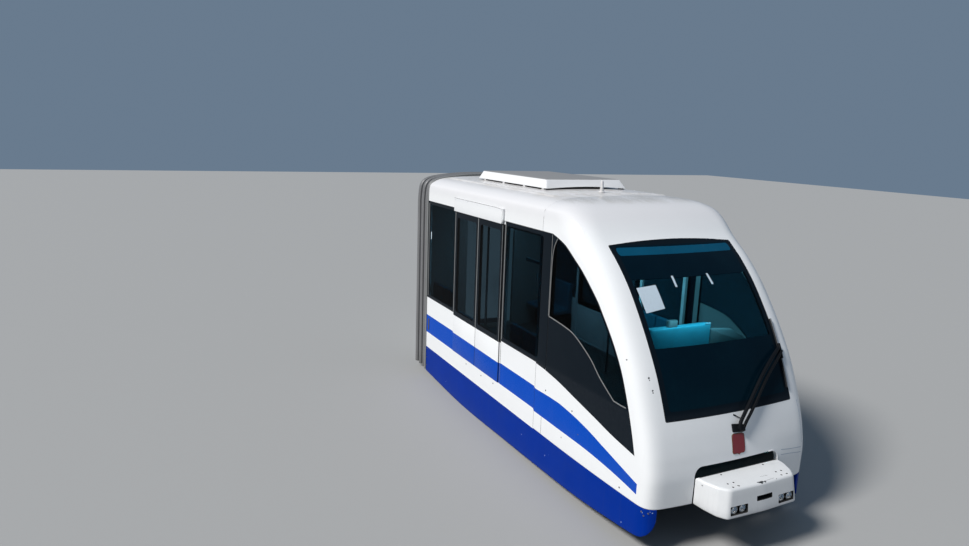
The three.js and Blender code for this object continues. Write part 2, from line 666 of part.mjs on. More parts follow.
function driverSeat() {
  const base = block(1960, 2140, -90, 90, DECK_TOP_Z + SEAT_GAP, 850);
  const cushion = block(1830, 2270, -230, 230, 840, 940);
  const back = sideSlab([[1830, 930], [1930, 930], [1850, 1650], [1780, 1650]], -220, 220);
  return join(base, cushion, back);
}

const bench = (x0, x1) => endSlab([
  [INNER_HALF - 5, DECK_TOP_Z + SEAT_GAP], [INNER_HALF - 5, 1380], [1020, 1380], [1000, 930],
  [690, 915], [690, 850], [880, 820], [900, DECK_TOP_Z + SEAT_GAP],
], x0, x1);

function grabPoles() {
  const uprights = [-1, 1].flatMap((side) => [-1560, 140].map((x) => roundBar(
    new THREE.Vector3(x, side * 560, DECK_TOP_Z + SEAT_GAP),
    new THREE.Vector3(x, side * 560, 3030), 17, 10)));
  const rails = [-1, 1].map((side) => roundBar(
    new THREE.Vector3(-2350, side * 560, 2480), new THREE.Vector3(900, side * 560, 2480), 15, 8));
  const ties = [-1560, 140].map((x) => roundBar(
    new THREE.Vector3(x, -560, 2900), new THREE.Vector3(x, 560, 2900), 15, 8));
  return join(uprights[0], ...uprights.slice(1), ...rails, ...ties);
}

// Running gear, drawn about the bogie's own centre

const acrossAxis = (x, y, z) => new THREE.Matrix4().makeTranslation(x, y, z)
  .multiply(new THREE.Matrix4().makeRotationX(-Math.PI / 2));

function bogieFrame(lead) {
  const seat = BOGIE_SEAT_Z - SEAT_GAP;
  const plate = turned([[0, 290], [190, 290], [190, seat], [0, seat]], 24);
  const transom = block(-150, 150, -560, 560, 226, 300);
  const beams = [-1, 1].map((side) => block(-330, 330, side * 490 - 60, side * 490 + 60, 120, 300));
  const arms = block(lead * GUIDE.x - 32, lead * GUIDE.x + 32, -1050, 1050, 215, 285);
  const tail = block(-lead * GUIDE.x - 32, -lead * GUIDE.x + 32, -520, 520, 215, 285);
  const posts = [-1, 1].map((side) => block(lead * GUIDE.x - 26, lead * GUIDE.x + 26,
    side > 0 ? 990 : -1050, side > 0 ? 1050 : -990, GUIDE.top + 5, 230));
  const spindles = [-1, 1].map((side) => turned([
    [0, GUIDE.low - 13], [26, GUIDE.low - 13], [26, GUIDE.low - 5], [GUIDE.pin, GUIDE.low - 5],
    [GUIDE.pin, GUIDE.top + 6], [0, GUIDE.top + 6]], 14,
  new THREE.Matrix4().makeTranslation(lead * GUIDE.x, side * GUIDE.y, 0)));
  const hole = WHEEL.axle + RUNNING_FIT;
  const bore = turned([[0, -800], [hole, -800], [hole, 800], [0, 800]], WHEEL.sides,
    acrossAxis(0, 0, WHEEL.radius));
  return cut(join(plate, transom, ...beams, arms, tail, ...posts, ...spindles), bore);
}

function runningAxle() {
  const { y, half, axle, rim } = WHEEL;
  const end = [[0, y + half + 22], [58, y + half + 22], [58, y + half - 25], [rim - 22, y + half - 25],
    [rim - 22, y + half], [rim, y + half], [rim, y - half], [axle, y - half]];
  const other = end.map(([radius, along]) => [radius, -along]);
  return turned([...other, ...end.slice().reverse()], WHEEL.sides, acrossAxis(0, 0, WHEEL.radius));
}

function runningTyre(side) {
  const { y, half, rim, radius } = WHEEL;
  const low = y - half;
  const high = y + half;
  return turned([
    [rim + SEAT_GAP, low], [radius - 12, low], [radius, low + 14], [radius, high - 14],
    [radius - 12, high], [rim + SEAT_GAP, high], [rim + SEAT_GAP, low],
  ], WHEEL.sides, acrossAxis(0, side > 0 ? 0 : -2 * y, WHEEL.radius));
}

function guideWheel() {
  const { radius, low, top } = GUIDE;
  const bore = GUIDE.pin + RUNNING_FIT;
  return turned([
    [bore, low], [radius - 5, low], [radius, low + 8], [radius, top - 8], [radius - 5, top],
    [bore, top], [bore, low],
  ], 16);
}

// One plain block on four hangers below the motor ties
function linearMotor() {
  const hangers = [-1, 1].flatMap((side) => [-1, 1].map((end) => block(
    end * HANGER.x - HANGER.half, end * HANGER.x + HANGER.half,
    side * 200 - 30, side * 200 + 30, 109, SILL_LOW_Z - SEAT_GAP)));
  return join(block(-820, 820, -250, 250, 15, 110), ...hangers);
}

function drawbar() {
  const hole = DRAW_PIN.radius + RUNNING_FIT;
  const eye = turned([[hole, 296], [70, 296], [70, 360], [hole, 360], [hole, 296]], 20);
  const bar = cut(block(-620, -50, -40, 40, 300, 356),
    turned([[0, 290], [40, 290], [40, 366], [0, 366]], 20));
  const head = block(-640, -540, -70, 70, 285, 371);
  return join(eye, bar, head);
}

// Assembly

const car = new THREE.Group();
car.name = 'monorail_lead_car';

function add(name, solid, finish, place = [0, 0, 0], parent = car) {
  const mesh = new THREE.Mesh(toGeometry(solid), finish());
  mesh.name = name;
  mesh.position.set(...place);
  parent.add(mesh);
  return mesh;
}

function addPair(name, solid, finish) {
  add(`${name}_left`, solid, finish);
  add(`${name}_right`, mirrored(solid), finish);
}

add('underframe', underframe(), FINISH.frame);
add('floor_deck', floorDeck(), FINISH.frame);
addPair('side_wall', sideWall(), FINISH.white);
add('roof_shell', roofShell(), FINISH.white);
add('rear_frame', rearFrame(), FINISH.white);
add('nose_shell', noseShell(), FINISH.white);
add('windscreen', windscreen(), FINISH.glass);
addPair('nose_glass', noseGlass(), FINISH.glass);
addPair('rear_window', sidePane(REAR_X + PANE_EDGE, DOOR.rear - PANE_EDGE), FINISH.glass);
addPair('front_window', sidePane(DOOR.front + PANE_EDGE, FRONT_PANE_END), FINISH.glass);
for (const front of [false, true]) {
  const place = front ? 'front' : 'rear';
  addPair(`door_leaf_${place}`, doorLeaf(front), FINISH.white);
  addPair(`door_glass_${place}`, doorGlass(front), FINISH.glass);
}
addPair('door_pelmet', doorPelmet(), FINISH.white);
addPair('skirt', skirt(REAR_X - 1, SKIRT_JOINT_X - SEAT_GAP), FINISH.blue);
addPair('skirt_nose', skirt(SKIRT_JOINT_X, 3300), FINISH.blue);
add('bellows_ring', bellowsRing(), FINISH.bellows);
add('coupler_cover', couplerCover(), FINISH.white);
add('headlamp_left', headlamp(1), FINISH.lamp);
add('headlamp_right', headlamp(-1), FINISH.lamp);
add('roof_plinth', roofPlinth(), FINISH.white);
add('roof_cover', roofCover(), FINISH.white);
add('antenna', antenna(), FINISH.white);
add('wiper', wiper(), FINISH.dark);
add('driver_desk', driverDesk(), FINISH.interior);
add('driver_seat', driverSeat(), FINISH.seat);
addPair('bench_rear', bench(-2480, -1620), FINISH.seat);
addPair('bench_front', bench(200, 920), FINISH.seat);
add('grab_poles', grabPoles(), FINISH.steel);
add('linear_motor', linearMotor(), FINISH.dark);
add('drawbar', drawbar(), FINISH.steel, [DRAW_PIN.x, 0, 0]);

for (const [place, lead] of [['front', 1], ['rear', -1]]) {
  const bogie = new THREE.Group();
  bogie.position.set(lead * BOGIE_X, 0, 0);
  add(`bogie_frame_${place}`, bogieFrame(lead), FINISH.frame, [0, 0, 0], bogie);
  add(`running_axle_${place}`, runningAxle(), FINISH.steel, [0, 0, 0], bogie);
  for (const [side, sign] of [['left', 1], ['right', -1]]) {
    add(`running_tyre_${place}_${side}`, runningTyre(sign), FINISH.tyre, [0, 0, 0], bogie);
    add(`guide_wheel_${place}_${side}`, guideWheel(), FINISH.tyre,
      [lead * GUIDE.x, sign * GUIDE.y, 0], bogie);
  }
  car.add(bogie);
}

export default car;
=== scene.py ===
"""Looks of the lead car of a light straddle monorail train.

Sizes are in millimetres, as on a drawing, and MeshDraft turns them into metres.
+X points to the nose, +Y to the left side, +Z up. Height 0 is the running surface of the beam.
"""

import logging
import math
from dataclasses import dataclass, field
from enum import Enum
from functools import lru_cache
from typing import Callable, Sequence

import bmesh
import bpy
import numpy as np
from mathutils import Matrix, Vector
from mathutils.geometry import delaunay_2d_cdt


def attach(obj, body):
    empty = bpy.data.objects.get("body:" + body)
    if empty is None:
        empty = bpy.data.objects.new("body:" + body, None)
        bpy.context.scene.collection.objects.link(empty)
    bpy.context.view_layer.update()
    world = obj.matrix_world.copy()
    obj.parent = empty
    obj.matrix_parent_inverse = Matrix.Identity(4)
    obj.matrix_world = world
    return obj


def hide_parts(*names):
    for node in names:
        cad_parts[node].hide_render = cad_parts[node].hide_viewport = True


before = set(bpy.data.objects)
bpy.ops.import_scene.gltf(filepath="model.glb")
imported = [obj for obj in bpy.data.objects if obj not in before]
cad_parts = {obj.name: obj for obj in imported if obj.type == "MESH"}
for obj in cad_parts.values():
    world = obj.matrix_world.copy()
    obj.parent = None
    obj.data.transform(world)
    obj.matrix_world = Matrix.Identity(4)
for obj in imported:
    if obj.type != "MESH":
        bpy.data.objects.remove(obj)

LOG = logging.getLogger("lead_car")
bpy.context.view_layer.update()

MM = 0.001
# Points this near are one point, and the phase keeps round sizes off the limit between two cells
WELD = 0.01
WELD_PHASE = 0.317
CDT_ERROR = 1e-5
REAR_X = -2600.0
SEAM_X = 1000.0
HALF_WIDTH = 1145.0
WALL = 45.0
SKIN_LOW_Z = 242.0
DOOR_SILL_Z = 500.0
GLASS_LOW_Z = 1100.0
GLASS_TOP_Z = 2696.0
PANE = 10.0
FLOOR_Z = 480.3
DOOR_REAR_X = -1495.0
DOOR_FRONT_X = 76.0
DOOR_TOP_Z = 2650.0
LEAF_OUT_Y = 1153.0
LEAF_IN_Y = 1108.0
LEAF_GLASS_Z = 1065.0
BOGIE_X = 1900.0
WHEEL_Z = 180.0
LEFT = 1.0
RIGHT = -1.0
SIDES = {"left": LEFT, "right": RIGHT}

Loop = np.ndarray


class Body(Enum):
    """Moving bodies of the part."""

    CAR = "car_body"
    DRAWBAR = "rear_drawbar"
    BOGIE_FRONT = "bogie_front"
    BOGIE_REAR = "bogie_rear"
    AXLE_FRONT = "axle_front"
    AXLE_REAR = "axle_rear"
    GUIDE_FRONT_LEFT = "guide_front_left"
    GUIDE_FRONT_RIGHT = "guide_front_right"
    GUIDE_REAR_LEFT = "guide_rear_left"
    GUIDE_REAR_RIGHT = "guide_rear_right"


class Slot(Enum):
    """Material slots of the record."""

    WHITE = "white_paint"
    BLUE = "blue_paint"
    GLASS = "tinted_glass"
    BELLOWS = "bellows_rubber"
    FRAME = "frame_paint"
    STEEL = "bare_steel"
    TYRE = "tyre_rubber"
    LAMP = "lamp_reflector"
    TRIM = "black_trim"
    CAB = "cab_plastic"
    SEAT = "seat_shell"
    MOTOR = "motor_casing"


# Curves and outlines


def unit(vectors: np.ndarray) -> np.ndarray:
    """Vectors of length one."""
    return vectors / np.maximum(np.linalg.norm(vectors, axis=-1, keepdims=True), 1e-12)


def monotone(xs: Sequence[float], ys: Sequence[float]) -> Callable[[np.ndarray], np.ndarray]:
    """A smooth curve through points that never overshoots them.

    Args:
        xs: Rising places.
        ys: Value at each place.

    Returns:
        A function from places to values.
    """
    x, y = np.asarray(xs, float), np.asarray(ys, float)
    step, slope = np.diff(x), np.diff(y) / np.diff(x)
    tangent = np.empty_like(y)
    tangent[0], tangent[-1] = slope[0], slope[-1]
    same = slope[:-1] * slope[1:] > 0
    w1, w2 = 2 * step[1:] + step[:-1], step[1:] + 2 * step[:-1]
    with np.errstate(divide="ignore", invalid="ignore"):
        mean = (w1 + w2) / (w1 / slope[:-1] + w2 / slope[1:])
    tangent[1:-1] = np.where(same, mean, 0.0)

    def curve(at: np.ndarray) -> np.ndarray:
        """Value of the curve at each place."""
        at = np.clip(np.asarray(at, float), x[0], x[-1])
        i = np.clip(np.searchsorted(x, at, side="right") - 1, 0, len(x) - 2)
        t = (at - x[i]) / step[i]
        t2, t3 = t * t, t * t * t
        return ((2 * t3 - 3 * t2 + 1) * y[i] + (t3 - 2 * t2 + t) * step[i] * tangent[i]
                + (3 * t2 - 2 * t3) * y[i + 1] + (t3 - t2) * step[i] * tangent[i + 1])

    return curve


def counted(points: Sequence[Sequence[float]], count: int) -> Loop:
    """The same open line with a set number of points at even steps."""
    points = np.asarray(points, float)
    length = np.concatenate([[0.0], np.cumsum(np.linalg.norm(np.diff(points, axis=0), axis=1))])
    at = np.linspace(0.0, length[-1], count)
    return np.stack([np.interp(at, length, points[:, k]) for k in range(points.shape[1])], axis=1)


def evenly(points: Sequence[Sequence[float]], spacing: float) -> Loop:
    """The same open line with points at even steps.

    Args:
        points: Points of the line, one to a row.
        spacing: Longest step.

    Returns:
        Points from the first to the last of the line.
    """
    length = np.cumsum(np.linalg.norm(np.diff(np.asarray(points, float), axis=0), axis=1))[-1]
    return counted(points, max(1, int(math.ceil(length / spacing))) + 1)


def chained(*lines: Loop) -> Loop:
    """One outline from open lines, each ending where the next one starts."""
    return np.vstack([line[:-1] for line in lines])


def spline(knots: Sequence[Sequence[float]], spacing: float) -> Loop:
    """A smooth open line through knots, with points at even steps."""
    k = np.asarray(knots, float)
    if len(k) < 3:
        return evenly(k, spacing)
    padded = np.vstack([2 * k[0] - k[1], k, 2 * k[-1] - k[-2]])
    t = np.linspace(0.0, 1.0, 17)[:-1, None]
    parts = []
    for a, b, c, d in zip(padded, padded[1:], padded[2:], padded[3:]):
        parts.append(0.5 * (2 * b + (c - a) * t + (2 * a - 5 * b + 4 * c - d) * t * t
                            + (3 * b - a - 3 * c + d) * t ** 3))
    return evenly(np.vstack([*parts, k[-1:]]), spacing)


def rounded(corners: Sequence[Sequence[float]], radii: float | Sequence[float],
            spacing: float = 60.0, closed: bool = True) -> Loop:
    """A polygon with its corners turned into arcs.

    Args:
        corners: Corners, in two or three dimensions.
        radii: One radius for all, or one for each corner.
        spacing: Longest straight step.
        closed: Whether the last corner joins the first.

    Returns:
        Points of the outline, with no repeat of the first.
    """
    c = np.asarray(corners, float)
    n = len(c)
    radius = np.full(n, radii, float) if np.isscalar(radii) else np.asarray(radii, float)
    pieces = []
    for i in range(n):
        if not closed and i in (0, n - 1):
            pieces.append(c[i:i + 1])
            continue
        into, out = unit(c[i] - c[i - 1]), unit(c[(i + 1) % n] - c[i])
        turn = math.acos(float(np.clip(into @ out, -1, 1)))
        if radius[i] <= 0 or turn < 0.02:
            pieces.append(c[i:i + 1])
            continue
        reach = radius[i] * math.tan(turn / 2)
        start, end = c[i] - into * reach, c[i] + out * reach
        steps = max(2, int(math.ceil(turn / math.radians(15))))
        middle = c[i] + unit(out - into) * (radius[i] / math.cos(turn / 2))
        spoke_a, spoke_b = start - middle, end - middle
        arc = [middle + (spoke_a * math.sin(turn * (1 - s)) + spoke_b * math.sin(turn * s))
               / math.sin(turn)
               for s in np.linspace(0, 1, steps + 1)]
        pieces.append(np.array(arc))
    line = []
    for i, piece in enumerate(pieces):
        line.append(piece)
        if closed or i + 1 < len(pieces):
            gap = evenly([piece[-1], pieces[(i + 1) % n][0]], spacing)
            line.append(gap[1:-1])
    return np.vstack(line)


def inset(loop: Loop, distance: float) -> Loop:
    """A closed outline drawn in by a distance, or out by a negative one."""
    before, after = np.roll(loop, 1, axis=0), np.roll(loop, -1, axis=0)
    area = np.sum(loop[:, 0] * after[:, 1] - after[:, 0] * loop[:, 1])
    turn = 1.0 if area > 0 else -1.0

    def inward(run: np.ndarray) -> np.ndarray:
        """Normal that points into the outline."""
        run = unit(run)
        return turn * np.stack([-run[:, 1], run[:, 0]], axis=1)

    first, second = inward(loop - before), inward(after - loop)
    middle = unit(first + second)
    reach = distance / np.maximum(0.4, np.sum(middle * first, axis=1))
    return loop + middle * reach[:, None]


def box(x0: float, x1: float, z0: float, z1: float) -> list[tuple[float, float]]:
    """Corners of a rectangle."""
    return [(x0, z0), (x1, z0), (x1, z1), (x0, z1)]


def inside(points: np.ndarray, loop: Loop) -> np.ndarray:
    """Whether each point lies within a closed outline."""
    x, y = points[:, 0], points[:, 1]
    hit = np.zeros(len(points), bool)
    for (ax, ay), (bx, by) in zip(loop, np.roll(loop, -1, axis=0)):
        if ay != by:
            hit ^= ((ay > y) != (by > y)) & (x < (bx - ax) * (y - ay) / (by - ay) + ax)
    return hit


# Meshes


@dataclass
class MeshDraft:
    """Points and faces of one piece in millimetres, gathered before they become a mesh."""

    points: list[np.ndarray] = field(default_factory=list)
    normals: list[np.ndarray] = field(default_factory=list)
    faces: list[tuple[int, ...]] = field(default_factory=list)
    finishes: list[int] = field(default_factory=list)
    count: int = 0

    def add(self, points: np.ndarray, faces: Sequence[Sequence[int]],
            finish: int | Sequence[int] = 0, normals: np.ndarray | None = None) -> None:
        """Adds points and the faces between them.

        Args:
            points: New points, one to a row.
            faces: Faces as indices into the new points.
            finish: Material index of all faces, or one for each.
            normals: Shading normal of each point, where it is known.
        """
        points = np.asarray(points, float).reshape(-1, 3)
        self.points.append(points)
        self.normals.append(np.zeros_like(points) if normals is None
                            else np.asarray(normals, float))
        base = self.count
        self.faces.extend(tuple(base + int(i) for i in face) for face in faces)
        many = [finish] * len(faces) if isinstance(finish, int) else [int(f) for f in finish]
        self.finishes.extend(many)
        self.count += len(points)

    def grid(self, rows: np.ndarray, finish: int = 0, wrap_rows: bool = False,
             wrap_columns: bool = False, normals: np.ndarray | None = None) -> None:
        """Adds a net of four-sided faces over rows of points."""
        rows = np.asarray(rows, float)
        r, c = rows.shape[:2]
        i, j = np.meshgrid(np.arange(r if wrap_rows else r - 1),
                           np.arange(c if wrap_columns else c - 1), indexing="ij")
        i2, j2 = (i + 1) % r, (j + 1) % c
        faces = np.stack([i * c + j, i * c + j2, i2 * c + j2, i2 * c + j], axis=-1).reshape(-1, 4)
        flat = None if normals is None else np.asarray(normals, float).reshape(-1, 3)
        self.add(rows.reshape(-1, 3), faces, finish, flat)

    def strip(self, first: Loop, second: Loop, finish: int = 0, closed: bool = False) -> None:
        """Adds a band of faces between two lines with as many points."""
        self.grid(np.stack([first, second]), finish, wrap_columns=closed)

    def take(self, source: bmesh.types.BMesh, finish: int = 0) -> None:
        """Adds all faces of a bmesh and frees it."""
        source.verts.index_update()
        points = np.array([v.co[:] for v in source.verts])
        self.add(points, [[v.index for v in f.verts] for f in source.faces], finish)
        source.free()

    def block(self, low: Sequence[float], high: Sequence[float], radius: float, finish: int = 0,
              segments: int = 2) -> None:
        """Adds a box with rounded edges."""
        low_v, high_v = np.minimum(low, high), np.maximum(low, high)
        bm = bmesh.new()
        bmesh.ops.create_cube(bm, size=1.0)
        middle, size = (low_v + high_v) / 2, high_v - low_v
        for v in bm.verts:
            v.co = Vector(middle + np.array(v.co[:]) * size)
        if radius > 0:
            bmesh.ops.bevel(bm, geom=bm.edges[:], offset=min(radius, float(size.min()) * 0.45),
                            segments=segments, affect="EDGES", profile=0.5)
        self.take(bm, finish)

    def prism(self, outline: Loop, plane: str, low: float, high: float, radius: float = 0.0,
              finish: int = 0, segments: int = 2) -> None:
        """Adds an outline drawn out along the third axis, with rounded rims.

        Args:
            outline: Closed outline.
            plane: The two axes of the outline, such as "xz".
            low: Start along the third axis.
            high: End along the third axis.
            radius: Radius of the rims.
            finish: Material index.
            segments: Steps round each rim.
        """
        axes = ["xyz".index(letter) for letter in plane]
        third = 3 - sum(axes)
        n = len(outline)
        low, high = min(low, high), max(low, high)
        radius = min(radius, (high - low) * 0.45)
        rings = []
        steps = segments if radius > 0 else 0
        angles = np.linspace(0, math.pi / 2, steps + 1)
        for angle in angles:
            rings.append((radius * (1 - math.sin(angle)), low + radius * (1 - math.cos(angle))))
        for angle in angles[::-1]:
            rings.append((radius * (1 - math.sin(angle)), high - radius * (1 - math.cos(angle))))
        rows = np.zeros((len(rings), n, 3))
        for row, (shrink, level) in zip(rows, rings):
            ring = inset(outline, shrink) if shrink > 1e-6 else outline
            row[:, axes[0]], row[:, axes[1]], row[:, third] = ring[:, 0], ring[:, 1], level
        bm = bmesh.new()
        verts = [[bm.verts.new(p) for p in row] for row in rows]
        for below, above in zip(verts, verts[1:]):
            for k in range(n):
                bm.faces.new((below[k], below[(k + 1) % n], above[(k + 1) % n], above[k]))
        bm.faces.new(verts[0][::-1])
        bm.faces.new(verts[-1])
        bmesh.ops.recalc_face_normals(bm, faces=bm.faces[:])
        self.take(bm, finish)

    def lathe(self, profile: Sequence[Sequence[float]], centre: Sequence[float], axis: str,
              sides: int = 48, finish: int = 0, closed: bool = False) -> None:
        """Adds a body of revolution.

        Args:
            profile: Rows of radius and place along the axis.
            centre: Point that the profile's places start from.
            axis: One of "x", "y" and "z".
            sides: Steps round the axis.
            finish: Material index.
            closed: Whether the profile closes on itself.
        """
        k = "xyz".index(axis)
        a, b = (k + 1) % 3, (k + 2) % 3
        p = np.asarray(profile, float)
        angle = np.linspace(0, 2 * math.pi, sides, endpoint=False)
        rows = np.zeros((len(p), sides, 3))
        rows[..., a] = p[:, :1] * np.cos(angle)
        rows[..., b] = p[:, :1] * np.sin(angle)
        rows[..., k] = p[:, 1:2]
        rows += np.asarray(centre, float)
        if closed:
            rows = np.concatenate([rows, rows[:1]])
        self.grid(rows[:, ::-1] if _turns_inward(p, closed) else rows, finish, wrap_columns=True)

    def sweep(self, section: Loop, path: Loop, ups: np.ndarray, closed: bool = False,
              finish: int = 0) -> None:
        """Adds a closed section drawn along a path.

        Args:
            section: Rows of place across the path and place along the up direction.
            path: Points of the path.
            ups: Up direction at each point.
            closed: Whether the path's end joins its start.
            finish: Material index.
        """
        path, ups = np.asarray(path, float), np.broadcast_to(np.asarray(ups, float), np.shape(path))
        if closed:
            run = np.roll(path, -1, axis=0) - np.roll(path, 1, axis=0)
        else:
            run = np.gradient(path, axis=0)
        run = unit(run)
        across = unit(np.cross(run, ups))
        up = np.cross(across, run)
        into = unit(path - np.roll(path, 1, axis=0))
        out = unit(np.roll(path, -1, axis=0) - path)
        spread = np.sqrt(np.clip((1 + np.sum(into * out, axis=1)) / 2, 0.2, 1.0))
        if not closed:
            spread[[0, -1]] = 1.0
        rows = (path[:, None] + section[None, :, :1] * (across / spread[:, None])[:, None]
                + section[None, :, 1:2] * up[:, None])
        self.grid(rows, finish, wrap_rows=closed, wrap_columns=True)
        if not closed:
            m = len(section)
            self.add(rows[0], [list(range(m))[::-1]], finish)
            self.add(rows[-1], [list(range(m))], finish)

    def tube(self, path: Loop, radius: float, sides: int) -> None:
        """Adds a round bar along a path."""
        path = np.asarray(path, float)
        angle = np.linspace(0, 2 * math.pi, sides, endpoint=False)
        section = radius * np.stack([np.cos(angle), np.sin(angle)], axis=1)
        run = unit(np.gradient(path, axis=0))
        guide = np.array([0.0, 0.0, 1.0] if abs(run[:, 2]).max() < 0.9 else [0.31, 0.95, 0.0])
        self.sweep(section, path, np.broadcast_to(guide, path.shape))

    def bead(self, path: Loop, ups: np.ndarray, width: float, height: float, closed: bool = False,
             finish: int = 0, sink: float = 2.0) -> None:
        """Adds a rubber or sealant bead lying on a surface along a path."""
        w = width / 2
        section = np.array([[-w, -sink], [w, -sink], [w, height * 0.35], [w * 0.6, height],
                            [-w * 0.6, height], [-w, height * 0.35]])
        self.sweep(section, path, ups, closed, finish)

    def build(self, name: str, finishes: Sequence[bpy.types.Material], smooth: float = 35.0,
              outward: bool = True) -> bpy.types.Object:
        """Turns the draft into an object at the origin.

        Args:
            name: Name of the piece.
            finishes: Materials, in the order of the draft's material indices.
            smooth: Largest angle in degrees that is shaded smooth.
            outward: Whether the faces are turned to point out.

        Returns:
            The object, in metres.
        """
        points, normals = np.vstack(self.points), np.vstack(self.normals)
        keys = np.round(points / WELD + WELD_PHASE).astype(np.int64)
        _, first, index = np.unique(keys, axis=0, return_index=True, return_inverse=True)
        index = index.reshape(-1)
        faces, looks, corners, seen = [], [], [], set()
        for face, finish in zip(self.faces, self.finishes):
            ring = [(int(index[i]), i) for k, i in enumerate(face)
                    if index[i] != index[face[k - 1]]]
            key = frozenset(w for w, _ in ring)
            if len(key) < 3 or len(key) != len(ring) or key in seen:
                continue
            seen.add(key)
            faces.append([w for w, _ in ring])
            looks.append(finish)
            corners.append(dict(ring))
        mesh = bpy.data.meshes.new(name)
        mesh.from_pydata((points[first] * MM).tolist(), [], faces)
        for material in finishes:
            mesh.materials.append(material)
        mesh.polygons.foreach_set("material_index", looks)
        mesh.polygons.foreach_set("use_smooth", [True] * len(faces))
        if outward:
            bm = bmesh.new()
            bm.from_mesh(mesh)
            bmesh.ops.recalc_face_normals(bm, faces=bm.faces[:])
            bm.to_mesh(mesh)
            bm.free()
        mesh.update()
        mesh.set_sharp_from_angle(angle=math.radians(smooth))
        if np.abs(normals).max() > 0:
            custom = []
            for polygon, own in zip(mesh.polygons, corners):
                for vertex in polygon.vertices:
                    custom.append(normals[own[vertex]].tolist())
            mesh.normals_split_custom_set(custom)
        return new_object(name, mesh)

    def release(self, name: str, finishes: str, slot: Slot, *nodes: str, body: Body = Body.CAR,
                smooth: float = 35.0, outward: bool = True) -> None:
        """Builds the draft and puts the piece on its body.

        Args:
            name: Name of the piece.
            finishes: Names of its finishes, with spaces between them.
            slot: The record's slot for its finish.
            nodes: Nodes that it stands for.
            body: The body that carries it.
            smooth: Largest angle in degrees that is shaded smooth.
            outward: Whether the faces are turned to point out.
        """
        publish(self.build(name, looks(*finishes.split()), smooth, outward), body, slot, *nodes)


def new_object(name: str, data: bpy.types.ID) -> bpy.types.Object:
    """A new object in the scene."""
    made = bpy.data.objects.new(name, data)
    bpy.context.scene.collection.objects.link(made)
    return made


def _turns_inward(profile: np.ndarray, closed: bool) -> bool:
    """Whether a lathe profile runs so that its faces would point in."""
    after = np.roll(profile, -1, axis=0) if closed else profile[1:]
    before = profile if closed else profile[:-1]
    return float(np.sum(before[:, 0] * after[:, 1] - after[:, 0] * before[:, 1])) < 0


def baked(piece: bpy.types.Object) -> bpy.types.Object:
    """The piece with its modifiers turned into plain mesh."""
    bpy.context.view_layer.update()
    graph = bpy.context.evaluated_depsgraph_get()
    mesh = bpy.data.meshes.new_from_object(piece.evaluated_get(graph))
    piece.modifiers.clear()
    old = piece.data
    piece.data = mesh
    mesh.name = piece.name
    bpy.data.meshes.remove(old)
    return piece


def cut_by(piece: bpy.types.Object, cutter: bpy.types.Object,
           smooth: float = 35.0) -> bpy.types.Object:
    """The piece with the cutter's space taken out of it."""
    tool = piece.modifiers.new("cut", "BOOLEAN")
    tool.object = cutter
    tool.operation = "DIFFERENCE"
    tool.solver = "EXACT"
    baked(piece)
    bpy.data.objects.remove(cutter)
    piece.data.polygons.foreach_set("use_smooth", [True] * len(piece.data.polygons))
    piece.data.set_sharp_from_angle(angle=math.radians(smooth))
    return piece


def publish(piece: bpy.types.Object, body: Body, slot: Slot, *nodes: str) -> bpy.types.Object:
    """Puts a finished piece on its body.

    Args:
        piece: The finished object.
        body: The body that carries it.
        slot: The record's slot for its finish; not used.
        nodes: Nodes that it stands for.

    Returns:
        The piece.
    """
    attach(piece, body.value)
    if nodes:
        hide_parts(*nodes)
    LOG.info("%s: %d faces on %s", piece.name, len(piece.data.polygons), body.value)
    return piece


# Repeats by Geometry Nodes


class RepeatTree:
    """A Geometry Nodes tree with named inputs that copies a small shape."""

    def __init__(self, name: str) -> None:
        """Starts an empty tree with a geometry input and output."""
        self.tree = bpy.data.node_groups.new(name, "GeometryNodeTree")
        self.sockets: dict[str, bpy.types.NodeTreeInterfaceSocket] = {}
        self.socket("Geometry", "NodeSocketGeometry")
        self.tree.interface.new_socket(name="Geometry", in_out="OUTPUT",
                                       socket_type="NodeSocketGeometry")
        self.inputs = self.tree.nodes.new("NodeGroupInput")
        self.result = self.tree.nodes.new("NodeGroupOutput")

    def socket(self, name: str, kind: str) -> None:
        """Adds a named input."""
        self.sockets[name] = self.tree.interface.new_socket(name=name, in_out="INPUT",
                                                            socket_type=kind)

    def node(self, kind: str, **settings: object) -> bpy.types.Node:
        """Adds a node with its settings."""
        made = self.tree.nodes.new(kind)
        for key, value in settings.items():
            setattr(made, key, value)
        return made

    def link(self, source: bpy.types.NodeSocket, target: bpy.types.NodeSocket) -> None:
        """Joins two sockets."""
        self.tree.links.new(source, target)

    def finish(self, instances: bpy.types.NodeSocket) -> None:
        """Ends the tree in realised copies with a material."""
        real = self.node("GeometryNodeRealizeInstances")
        dress = self.node("GeometryNodeSetMaterial")
        self.link(instances, real.inputs["Geometry"])
        self.link(real.outputs["Geometry"], dress.inputs["Geometry"])
        self.link(self.inputs.outputs["Material"], dress.inputs["Material"])
        self.link(dress.outputs["Geometry"], self.result.inputs["Geometry"])

    def apply(self, piece: bpy.types.Object, values: dict[str, object]) -> bpy.types.Object:
        """Runs the tree on a piece and keeps the result as plain mesh."""
        tool = piece.modifiers.new("repeat", "NODES")
        tool.node_group = self.tree
        for name, value in values.items():
            tool[self.sockets[name].identifier] = value
        return baked(piece)


